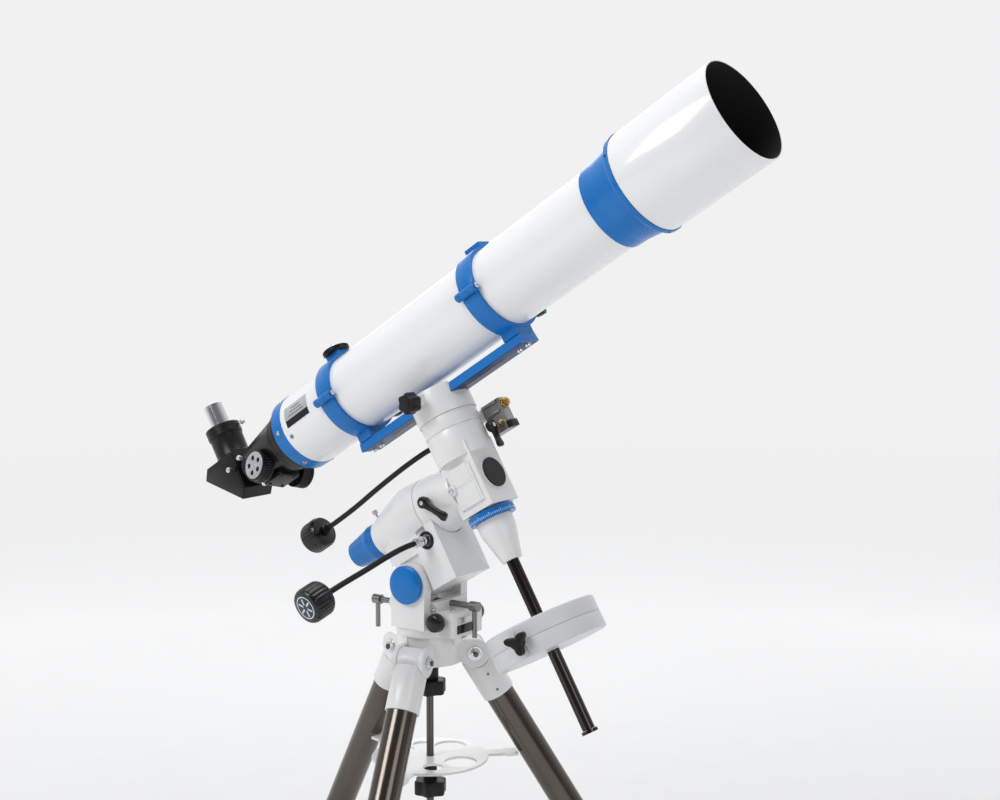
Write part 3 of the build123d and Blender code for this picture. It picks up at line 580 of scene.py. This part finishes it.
FRONT_RING = 188.5
HINGE_Y = -74
CLAMP_Y = 81
BAR_UNDERSIDE = -96
NUT_R = 23.0
NUT_RIBS = 60
NUT_BORE = 4.6
NUT_LOW, NUT_HIGH = 78.5, 87.0
NUT_RINGS = (  # z, how far inside the nut, knurled
    (NUT_LOW, 1.6, False), (80, 0, True), (85.4, 0, True), (NUT_HIGH, 1.6, False))


def optical_tube():
    shell = lathe_mesh("dew", DEW_SHIELD, 192)
    outer, inner = 0, 1
    for face in shell.polygons:
        reach = Vector(face.center[:2]).length
        face.material_index = inner if reach < DEW_SHIELD_INSIDE else outer
    made = piece("dew_shield_shell", shell, ROUND_TUBE, [WHITE, MATT_BLACK], "dew_shield")
    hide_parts("dew_shield")
    piece("tube_lining", lathe_mesh("lining", LINING), ROUND_TUBE, MATT_BLACK, "optical_tube")
    for name, x in BAFFLES:
        piece(name, washer(name, 48, 62.0, x, x + 1.5, 0.3), ROUND_TUBE, MATT_BLACK,
              "optical_tube")
    piece("lens_retainer", lathe_mesh("retainer", LENS_RETAINER, 128), ROUND_TUBE, MATT_BLACK,
          "optical_tube")
    specification_plate()
    for k, angle in enumerate(TAIL_RING_SCREWS):
        at = TUBE @ turned("X", angle) @ place(-292, 0, 65.2)
        screw_head(f"tail_ring_screw_{k + 1}", 3.9, 1.8, at, "optical_tube")
    for k, angle in enumerate(TUBE_SCREWS):
        at = TUBE @ turned("X", angle) @ place(-268, 0, 64.9)
        screw_head(f"tube_screw_{k + 1}", 3.6, 1.6, at, "optical_tube", GREY_STEEL)
    for k, angle in enumerate(CELL_SCREWS):
        at = TUBE @ turned("X", angle) @ place(494.8, 0, 80.7)
        screw_head(f"cell_screw_{k + 1}", 1.8, 1.0, at, "optical_tube", DARK_STEEL)


def specification_plate():
    """The blank label, bent round the near side of the tube: a black band under silver."""
    bm = bmesh.new()
    grid = []
    for x in PLATE_ENDS:
        line = []
        for j in range(PLATE_ROWS + 1):
            angle = radians(PLATE_FROM + PLATE_SPAN * j / PLATE_ROWS)
            line.append([bm.verts.new((x, -r * cos(angle), r * sin(angle))) for r in PLATE_RADII])
        grid.append(line)
    start, end = grid
    silver, black = 0, 1
    for j in range(PLATE_ROWS):
        for layer in (0, 1):
            quad = (start[j][layer], end[j][layer], end[j + 1][layer], start[j + 1][layer])
            face = bm.faces.new(quad if layer else quad[::-1])
            face.material_index = black if j < DARK_ROWS else silver
        for line in grid:
            bm.faces.new((line[j][0], line[j][1], line[j + 1][1], line[j + 1][0]))
    for j in (0, PLATE_ROWS):
        bm.faces.new((start[j][0], start[j][1], end[j][1], end[j][0]))
    piece("specification_plate", to_mesh("plate", bm), TUBE, [SILVER, GLOSS_BLACK], "optical_tube")
    lines = []
    for row in range(3):
        degrees = 14 + 5 * row
        y, z = -PRINT_R * cos(radians(degrees)), PRINT_R * sin(radians(degrees))
        at = place(PRINT_MIDDLE, y, z) @ turned("X", 90 - degrees)
        lines.append((block_mesh("line", (40 - 9 * row, 0.9, 0.2), 0.05), at))
    piece("specification_lines", joined("lines", lines), TUBE, GLOSS_BLACK, "optical_tube")


def tube_rings():
    for name, middle in (("rear", REAR_RING), ("front", FRONT_RING)):
        for side, end in ((-1, "in"), (1, "out")):
            at = TUBE @ place(middle + side * 21, HINGE_Y, 0) @ turned("Y", 90 * side)
            screw_head(f"ring_{name}_hinge_screw_{end}", 4.2, 1.8, at, "optical_tube")
        knob = joined("clamp", [
            (plate_mesh("lobes", [lobes(12.6, 5, 0.22)], 17.4, 2.0), place(0, 0, -36.5)),
            (disc("collar", 6.8, -28, -9.1, 0.8, 40), UNTURNED),
            (disc("cap", 7, -46.5, -44, 1.0, 40), UNTURNED)])
        piece(f"ring_{name}_clamp_knob", knob, TUBE @ place(middle, CLAMP_Y, 0), BLACK,
              "optical_tube")
        for side, end in ((-1, "in"), (1, "out")):
            at = TUBE @ place(middle + side * 9, 0, BAR_UNDERSIDE) @ turned("X", 180)
            screw_head(f"bar_{name}_screw_{end}", 4.6, 4.5, at, "optical_tube")
    # painted shade: a black strip in the groove and a dark blue sheet over the underside of the
    # bar
    groove = block_mesh("groove", (268, 12, 1.2), 0.3)
    piece("dovetail_groove_painted_shade", groove, TUBE @ place(15, 0, -96.2), SATIN_BLACK, "optical_tube")
    under = block_mesh("under", (376, 43.2, 1.0), 0.3)
    piece("dovetail_underside_painted_shade", under, TUBE @ place(14, 0, -96.0), PAINTED_SHADE_BLUE, "optical_tube")
    camera_nut()


def camera_nut():
    """The knurled nut on the stud of the rear ring."""
    bm = bmesh.new()
    steps = NUT_RIBS * 4
    rings = []
    for z, inside, knurled in NUT_RINGS:
        outline = []
        for k in range(steps):
            angle = 2 * pi * k / steps
            cut = 0.7 * (k % 4 > 1) if knurled else 0.4
            reach = NUT_R - inside - cut
            outline.append((reach * cos(angle), reach * sin(angle)))
        rings.append(ring_of_verts(bm, outline, z))
    bore = circle(NUT_BORE, steps=steps)
    low, high = [ring_of_verts(bm, bore, z) for z in (NUT_LOW, NUT_HIGH)]
    skin(bm, [low, *rings, high, low])
    at = TUBE @ place(REAR_RING, 0, 0)
    nut = piece("camera_nut", to_mesh("nut", bm), at, SATIN_BLACK, "ring_thumb_nut",
                SMOOTH_UNDER_KNURL)
    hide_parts("ring_thumb_nut")
    piece("camera_stud", disc("stud", 3.24, 78, 97.1, 0.8, 32), at, CHROME, "upper_ring_rear")


# ---------------------------------------------------------------- focuser and diagonal

PINION = FOCUSER @ place(-378, 0, -33)
POST = TUBE @ place(-480, 0, 0)  # the diagonal's barrel stands along this Z
BARREL_COLLAR = [(18, 82), (31.0, 82), (31.6, 82.8), (31.6, 88), (30.6, 89), (30.6, 91),
                 (31.6, 92), (31.6, 98.2), (30.4, 99.6), (18, 99.6)]
BARREL_LIP = [(17.7, 99.2), (22, 99.2), (22, 101), (21, 102), (17.7, 102)]
FACE_HOLES = 5
FACE_HOLES_AT = 13.5  # from the focus knob's middle
PINION_SCREWS = ((-395, -13), (-395, 13), (-361, -13), (-361, 13))
FOCUSER_BANDS = ((-312.5, 58.4), (-333.5, 52.6), (-423.5, 37.8))  # x, radius
FOCUSER_THUMBSCREWS = (  # x, degrees about the tube, distance from its axis, body
    (-411, 150, 36, "optical_tube"), (-433.5, 60, 30, "drawtube"))
DIAGONAL_SIDE = [(-520, 37), (-533.5, 22.5), (-465.5, -42.5), (-452, -29), (-449, 37)]


def focuser():
    holes = []
    for k in range(FACE_HOLES):
        angle = 2 * pi * k / FACE_HOLES + 0.3
        holes.append(circle(4.4, FACE_HOLES_AT * cos(angle), FACE_HOLES_AT * sin(angle), 28))
    for (name, facing), finish in zip(BOTH_SIDES, (SILVER, SATIN_BLACK)):
        at = PINION @ facing
        outlines = [circle(23.6, steps=96), circle(3.2), *holes]
        piece(f"focus_{name}_face", plate_mesh("face", outlines, 2.4, 0.4), at @ place(0, 0, 54.6),
              finish, "focus_knobs")
        piece(f"focus_{name}_back", disc("back", 23.0, 52, 54.05, 0.3), at, MATT_BLACK,
              "focus_knobs")
        piece(f"focus_{name}_rim", washer("rim", 23.5, 26.3, 53.5, 55.4, 0.7, 120), at,
              SATIN_BLACK, "focus_knobs")
        screw_head(f"focus_{name}_screw", 3.0, 1.8, at @ place(0, 0, 54.2), "focus_knobs")
    piece("pinion_cover", block_mesh("cover", (46, 40, 6), 1.2), FOCUSER @ place(-378, 0, -52.5),
          SATIN_BLACK, "optical_tube")
    for k, (x, y) in enumerate(PINION_SCREWS):
        at = FOCUSER @ place(x, y, -55.2) @ turned("X", 180)
        screw_head(f"pinion_screw_{k + 1}", 2.6, 1.6, at, "optical_tube", DARK_STEEL)
    for k, (x, radius) in enumerate(FOCUSER_BANDS):
        band = washer("band", radius - 6, radius, x - 2, x + 2, 0.6, 120)
        piece(f"focuser_band_{k + 1}", band, ROUND_TUBE, GLOSS_BLACK, "optical_tube")
    for k, (x, angle, reach, body) in enumerate(FOCUSER_THUMBSCREWS):
        at = TUBE @ turned("X", angle) @ place(x, 0, reach)
        screw = thumbscrew((1.6, 0, 8, 0.2), 4.6, 12, 10.5, 0.7)
        piece(f"focuser_thumbscrew_{k + 1}", screw, at, CHROME, body)
    at = TUBE @ turned("X", -20) @ place(-330, 0, 55)
    piece("finder_shoe", block_mesh("shoe", (16, 10, 6), 1.0), at, SILVER, "optical_tube")


def diagonal():
    for side, name in ((-1, "far"), (1, "near")):
        at = TUBE @ turned("X", 90) @ place(0, 0, side * 33.2)
        piece(f"diagonal_side_{name}", plate_mesh("side", [DIAGONAL_SIDE], 1.6, 0.5), at,
              GLOSS_BLACK, "diagonal")
    at = TUBE @ place(-500.8, 0, -11.2) @ turned("Y", -136.2)
    piece("mirror_cover", block_mesh("slope", (92, 62, 2.4), 0.8), at, SATIN_BLACK, "diagonal")
    piece("barrel_foot", washer("foot", 20, 31.5, 39.8, 43.5, 0.8), POST, GLOSS_BLACK, "diagonal")
    piece("barrel_collar", lathe_mesh("collar", BARREL_COLLAR, 120), POST, SATIN_BLACK, "diagonal")
    piece("barrel_lip", lathe_mesh("lip", BARREL_LIP), POST, GLOSS_BLACK, "diagonal")
    piece("eyepiece_lip", washer("lip", 16.0, 18.0, 139.6, 142.4, 0.4), POST, CHROME,
          "eyepiece_barrel")
    piece("eyepiece_bore_black", washer("bore", 15.2, 15.88, 72, 141.5, 0.2, 64), POST, MATT_BLACK,
          "eyepiece_barrel")
    at_barrel = POST @ turned("Z", 20) @ place(0, 0, 91) @ turned("Y", 90) @ place(0, 0, 30)
    at_nose = TUBE @ place(-458, -33, 10) @ turned("X", 90)
    for name, at in (("barrel_thumbscrew", at_barrel), ("nose_thumbscrew", at_nose)):
        screw = thumbscrew((1.7, 0, 9, 0.2), 4.8, 14, 11.5, 0.7, (3, 14.6, 15.8, 0.4))
        piece(name, screw, at, CHROME, "diagonal")


# ---------------------------------------------------------------- mount head

WEIGHT_MIDDLE = -(232.6 + 284.7) / 2  # of the counterweight, along the declination axis
AZIMUTH_KNOBS = (52, 0, -165)
AZIMUTH_KNOB = [(0, 46.1), (13.2, 46.1), (14.9, 47.4), (15.0, 50), (14.6, 56), (13.4, 60),
                (10.5, 61.7), (0, 62)]
AZIMUTH_FLUTES = 20
FLUTED_PAST = 12.9  # radius
FLUTE_DEPTH = 0.035  # of the radius
ALTITUDE_DISC = [(0, 63), (30.4, 63), (30.6, 63.4), (30.4, 64.0), (28, 65.2), (20, 66.2),
                 (10, 66.7), (0, 66.8)]
POLAR = DEC @ place(-DEC_ON_POLAR, 0, 0)
LEVER_END_R = 10
LEVER_HUB_R = 8.9
LEVER_OPENING = 0.35  # radians past the upright at which the round end meets the arm
CIRCLE_TICKS = 72
TICK_R = 37.95
PANEL_Y = 38.2
WORM_STACK = (  # name, start, end, radius, sides
    ("bush_back", 74.6, 79, 8.2, 48), ("nut_back", 79, 83.5, 7.4, 6), ("stub", 83, 86.6, 2.6, 24))
SCALE_MARKS = 7
AZIMUTH_PLATES = (  # name, height, z, finish
    ("azimuth_plate", 14, -178, GLOSS_BLACK), ("azimuth_plate_pale", 9, -164, SILVER))


def star(name, node, matrix, radius, count, depth, power, ends, collar):
    """A lobed hand knob with a domed cap; collar is the (radius, start, end) of its neck."""
    start, end = ends
    outline = lobes(radius, count, depth, 216, power)
    made = piece(name, joined(name, [
        (plate_mesh("lobes", [outline], end - start, 2.6), place(0, 0, (start + end) / 2)),
        (disc("cap", radius * 0.45, start - 1.2, end + 1.2, 1.4, 64), UNTURNED),
        (disc("neck", *collar, 0.8, 64), UNTURNED)]), matrix, BLACK, node)
    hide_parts(node)


def knobs():
    at = TUBE @ place(0, 0, -90) @ turned("X", 90)
    star("saddle_clamp_knob", "saddle_knob", at, 17.5, 6, 0.16, 1.0, (62, 82), (7.5, 50, 62.5))
    piece("saddle_clamp_screw", disc("screw", 3.5, 22.3, 63, 0.4, 32), at, CHROME, "saddle_knob")
    at = DEC @ turned("Z", 280) @ place(0, 0, WEIGHT_MIDDLE) @ turned("Y", 90)
    star("weight_clamp_knob", "counterweight_knob", at, 19.5, 3, 0.56, 1.6, (96, 110),
         (8.5, 90.4, 97))
    star("mount_star_knob", "mount_knob", HEAD_MM, 27, 6, 0.16, 1.0, (-296, -273),
         (14, -274, -242))
    star("tray_star_knob", "tray_knob", HEAD_MM, 27, 6, 0.16, 1.0, (-462, -439),
         (11, -440, -403.3))
    for name, facing in BOTH_SIDES:
        at = HEAD_MM @ place(*AZIMUTH_KNOBS) @ facing
        mesh = lathe_mesh("knob", AZIMUTH_KNOB, 120)
        for vertex in mesh.vertices:
            flat = Vector(vertex.co[:2])
            if flat.length > FLUTED_PAST:
                turn = flat.angle_signed(Vector((1, 0)), 0)
                shrink = 1 - FLUTE_DEPTH * max(0.0, cos(AZIMUTH_FLUTES * turn))
                vertex.co.x *= shrink
                vertex.co.y *= shrink
        made = piece(f"azimuth_{name}_cap", mesh, at, GLOSS_BLACK, f"azimuth_knob_{name}")
        piece(f"azimuth_{name}_screw", disc("screw", 3.5, 4.5, 47, 0.5, 32), at, CHROME,
              f"azimuth_knob_{name}")
        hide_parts(f"azimuth_knob_{name}")


def lever(name, node, matrix, reach, thick):
    """A clutch lever: a round hub with a screw, a waisted arm and a flared end."""
    outline = []
    for k in range(20):
        angle = pi / 2 + LEVER_OPENING + (pi - 2 * LEVER_OPENING) * k / 19
        outline.append((LEVER_END_R * cos(angle), LEVER_END_R * sin(angle)))
    edge = [(7, 6.6), (reach * 0.45, 5.2), (reach * 0.72, 5.6), (reach - 4, 7.4),
            (reach + 1.5, 6.0)]
    outline += [(x, -y) for x, y in edge] + [(reach + 2.5, 0)] + edge[::-1]
    made = piece(name, joined(name, [
        (plate_mesh("arm", [outline], thick, 1.6), UNTURNED),
        (disc("hub", LEVER_HUB_R, -thick / 2 - 4, thick / 2 + 1.5, 1.2, 48), UNTURNED)]),
        matrix, GLOSS_BLACK, node)
    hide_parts(node)
    screw_head(f"{name}_screw", 3.4, 1.2, matrix @ place(0, 0, thick / 2 + 1.4), node)


def levers():
    ra_hub = DEC @ place(41 - DEC_ON_POLAR, -58.5, 4) @ TOWARDS_NEAR @ turned("Z", -53.8)
    lever("ra_lever", "ra_clutch_lever", ra_hub, 47, 6.5)
    dec_hub = DEC @ place(56.5, 20, 69) @ ALONG_X
    lever("dec_lever", "dec_clutch_lever", dec_hub, 34, 6)


def declination_head():
    ticks = []
    for k in range(CIRCLE_TICKS):
        tall = 6.0 if k % 6 == 0 else 3.6
        at = turned("Z", 360 / CIRCLE_TICKS * k) @ place(TICK_R, 0, -62.0 + tall / 2)
        ticks.append((block_mesh("tick", (0.4, 0.75, tall), 0.08), at))
    piece("circle_ticks", joined("ticks", ticks), DEC, TICK_WHITE, "dec_setting_circle")
    piece("front_cap_rim", washer("rim", 23.6, 25.4, 34.7, 36.2, 0.4), DEC @ ALONG_X, CAST_WHITE,
          "ra_head")
    at = DEC @ place(-22.3, 0, -1) @ TOWARDS_NEAR
    piece("panel_boss", disc("boss", 8, 34, 42.6, 1.0, 48), at, CAST_WHITE, "ra_head")
    screw_head("panel_screw", 5.4, 1.6, at @ place(0, 0, 42.5), "ra_head")
    for side, (name, facing) in zip((-1, 1), BOTH_SIDES):
        for part, z in (("upper", 14), ("lower", -21)):
            at = DEC @ place(4, side * PANEL_Y, z) @ facing
            piece(f"block_panel_{name}_{part}", block_mesh("panel", (36, 30, 1.6), 0.7), at,
                  CAST_WHITE, "ra_head")


def worm_carrier():
    """The bare worm block's bush, nuts, bolts, ribs and bracket."""
    worm = DEC @ place(0, 48, 97) @ ALONG_X
    for name, start, end, radius, steps in WORM_STACK:
        piece(f"worm_{name}", disc(name, radius, start, end, 0.5, steps), worm, BRASS, "ra_head")
    for k, x in enumerate((46, 62)):
        at = DEC @ place(x, 39.8, 70) @ TOWARDS_NEAR
        piece(f"carrier_nut_{k + 1}", disc("nut", 5.2, 0, 4.6, 0.6, 6), at, BRASS, "ra_head")
        piece(f"carrier_bolt_{k + 1}", disc("bolt", 2.4, 4, 7.5, 0.5, 24), at, SILVER, "ra_head")
    piece("carrier_bracket", block_mesh("bracket", (9, 20, 12), 1.0), DEC @ place(77, 46, 61),
          SATIN_BLACK, "ra_head")
    for k, z in enumerate((88, 104)):
        piece(f"carrier_rib_{k + 1}", block_mesh("rib", (30, 4, 4), 0.8), DEC @ place(54, 38, z),
              BARE, "ra_head")


def polar_details():
    """The worm's recess, the scale plate and the locking screw of the polar housing."""
    piece("worm_recess", washer("recess", 9.0, 14.5, 44.2, 46.4, 0.7, 72),
          POLAR @ place(6.5, 0, -47) @ TOWARDS_NEAR, SATIN_BLACK, "altitude")
    piece("scale_plate", block_mesh("plate", (20, 1.2, 9), 0.3), POLAR @ place(2, -45.2, -28),
          SILVER, "altitude")
    marks = []
    for k in range(SCALE_MARKS):
        marks.append((block_mesh("mark", (0.7, 0.5, 6), 0.1), place(-6 + 2.7 * k, -45.9, -28)))
    piece("scale_marks", joined("marks", marks), POLAR, GLOSS_BLACK, "altitude")
    piece("polar_locking_screw", thumbscrew((2, 28, 44, 0.3), 4.6, 12, 45, 0.6),
          POLAR @ place(-96, 0, 0) @ turned("X", 12), SILVER, "altitude")


def azimuth_details():
    """The domes over the altitude discs, the blank plates and the screws of the base."""
    for name, facing in BOTH_SIDES:
        piece(f"altitude_disc_{name}", lathe_mesh("disc", ALTITUDE_DISC, 128),
              joint_mm("altitude_axis") @ facing, BLUE, "azimuth")
    for name, tall, z, finish in AZIMUTH_PLATES:
        piece(name, block_mesh("plate", (1.0, 44, tall), 0.3), HEAD_MM @ place(76.2, -6, z),
              finish, "azimuth")
    at = HEAD_MM @ place(38.3, -38, -146) @ TOWARDS_NEAR
    screw_head("fork_screw", 4.2, 2.6, at, "azimuth")
    for k, y in enumerate((-20, 20)):
        screw_head(f"block_screw_{k + 1}", 3.6, 3.0, HEAD_MM @ place(62, y, -151), "azimuth")


# ---------------------------------------------------------------- tripod

LEG_CLAMP = [(20.7, 544), (27, 544), (29.4, 547), (29.4, 566), (28.6, 568), (28.6, 596),
             (29.4, 598), (29.4, 603), (27.5, 605.6), (20.7, 605.6)]
SHOE = [(0, 822), (20.9, 822), (22.4, 824), (23.4, 832), (23.4, 905), (0, 905)]
SHOE_CUT = 0.0002  # metres above the floor
SET_SCREWS = (40, 70)  # down the leg from its pivot
CLAMP_SCREW = 582


def tripod_details():
    for name in LEG_ANGLES:
        ear = ear_matrix(name)
        leg = leg_matrix(name)
        body = f"leg_{name}"
        for side, facing in (("left", TOWARDS_NEAR), ("right", TOWARDS_FAR)):
            at = ear @ facing
            piece(f"{body}_washer_{side}", washer("washer", 5, 11.5, 26.05, 27.6, 0.4, 64), at,
                  CHROME, "tripod")
            piece(f"{body}_bolt_{side}", disc("bolt", 8.9, 27.4, 32.2, 1.2, 6), at, CHROME,
                  "tripod")
            piece(f"{body}_bolt_tip_{side}", disc("tip", 4.6, 31.5, 34.5, 0.8, 32), at, STAINLESS_PAINTED_DARK_REFLECTION,
                  "tripod")
        for k, down in enumerate(SET_SCREWS):
            at = leg @ place(0, 0, down) @ turned("Z", -90) @ turned("Y", 90) @ place(0, 0, 26.6)
            screw_head(f"{body}_set_screw_{k + 1}", 2.2, 0.8, at, body, DARK_STEEL, 24)
        piece(f"{body}_clamp", lathe_mesh("clamp", LEG_CLAMP), leg, BLACK, body)
        grip = joined("grip", [
            (disc("shank", 4, 27, 38, 0.5, 32), UNTURNED),
            (plate_mesh("wings", [lobes(11, 2, 0.45, 120)], 9, 1.6), place(0, 0, 40))])
        at = leg @ place(0, 0, CLAMP_SCREW) @ turned("Y", -90)
        piece(f"{body}_clamp_screw", grip, at, BLACK, body)
        shoe(name, leg)


def shoe(name, leg):
    """The rubber shoe, cut level with the floor."""
    mesh = lathe_mesh("foot", SHOE, 72)
    mesh.transform(leg)
    bm = bmesh.new()
    bm.from_mesh(mesh)
    cut = bmesh.ops.bisect_plane(bm, geom=bm.verts[:] + bm.edges[:] + bm.faces[:],
                                 plane_co=(0, 0, SHOE_CUT), plane_no=(0, 0, -1), clear_outer=True)
    rim = [item for item in cut["geom_cut"] if isinstance(item, bmesh.types.BMEdge)]
    bmesh.ops.contextual_create(bm, geom=rim)
    bpy.data.meshes.remove(mesh)
    piece(f"leg_{name}_shoe", to_mesh("shoe", bm), UNTURNED, RUBBER, f"lower_leg_{name}")


# ---------------------------------------------------------------- finishes of the CAD nodes

BEVELLED = {  # millimetres
    "polar_housing": 2.6, "dec_housing": 1.6, "azimuth_base": 1.6, "tripod_hub": 1.2,
    "saddle": 1.0, "leg_a_socket": 1.2, "leg_b_socket": 1.2, "leg_c_socket": 1.2,
    "shaft_cone": 0.8, "dovetail_bar": 0.6, "lower_rings": 0.5, "upper_ring_rear": 0.5,
    "upper_ring_front": 0.5, "diagonal_body": 0.8, "tray": 0.6, "counterweight": 0.8,
    "dec_worm_carrier": 0.8, "polar_scope_cap": 0.6, "focuser_body": 0.5}
WELD_WITHIN = 0.00001


def finish_nodes():
    for finish, names in NODE_FINISH.items():
        for name in names:
            node = frame["nodes"][name]
            node.data.materials.clear()
            node.data.materials.append(finish)
    for name, width in BEVELLED.items():
        node = frame["nodes"][name]
        weld = node.modifiers.new("weld", "WELD")
        weld.merge_threshold = WELD_WITHIN
        bevel = node.modifiers.new("edges", "BEVEL")
        bevel.width = width * MM
        bevel.segments = 2
        bevel.limit_method = "ANGLE"
        bevel.angle_limit = radians(SMOOTH_UNDER)
        bevel.harden_normals = False


FLOOR_SIZE = 25
FLOOR_Z = -0.0005
# the Emission Strength row is painted light: the floor glows more the further it is from the
# middle
FLOOR_GLOW_AND_FADE = (  # socket, the metres from the middle that it fades between, its ends
    ("Emission Strength", 1.4, 3.8, 0.0, 0.34), ("Alpha", 5.0, 11.0, 1.0, 0.0))


def floor():
    """A pale floor that glows with painted light further out and then fades out, so that it has no
    horizon.
    """
    bm = bmesh.new()
    bmesh.ops.create_grid(bm, x_segments=2, y_segments=2, size=FLOOR_SIZE)
    mesh = to_mesh("floor", bm)
    mesh.materials.append(FLOOR)
    nodes, links = FLOOR.node_tree.nodes, FLOOR.node_tree.links
    shader = nodes["Principled BSDF"]
    reach = nodes.new("ShaderNodeVectorMath")
    reach.operation = "LENGTH"
    links.new(nodes["Texture Coordinate"].outputs["Object"], reach.inputs[0])
    shader.inputs["Emission Color"].default_value = (1, 1, 1, 1)
    for socket, near, far, start, end in FLOOR_GLOW_AND_FADE:
        fade = nodes.new("ShaderNodeMapRange")
        fade.inputs["From Min"].default_value = near
        fade.inputs["From Max"].default_value = far
        fade.inputs["To Min"].default_value = start
        fade.inputs["To Max"].default_value = end
        links.new(reach.outputs["Value"], fade.inputs["Value"])
        links.new(fade.outputs["Result"], shader.inputs[socket])
    made = bpy.data.objects.new("floor", mesh)
    made.location.z = FLOOR_Z
    bpy.context.scene.collection.objects.link(made)


look()
control("ra", RA_ROUTE, "altitude", "ra_control_knob")
control("dec", DEC_ROUTE, "ra_head", "dec_control_knob")
optical_tube()
tube_rings()
focuser()
diagonal()
knobs()
levers()
declination_head()
worm_carrier()
polar_details()
azimuth_details()
tripod_details()
finish_nodes()
floor()
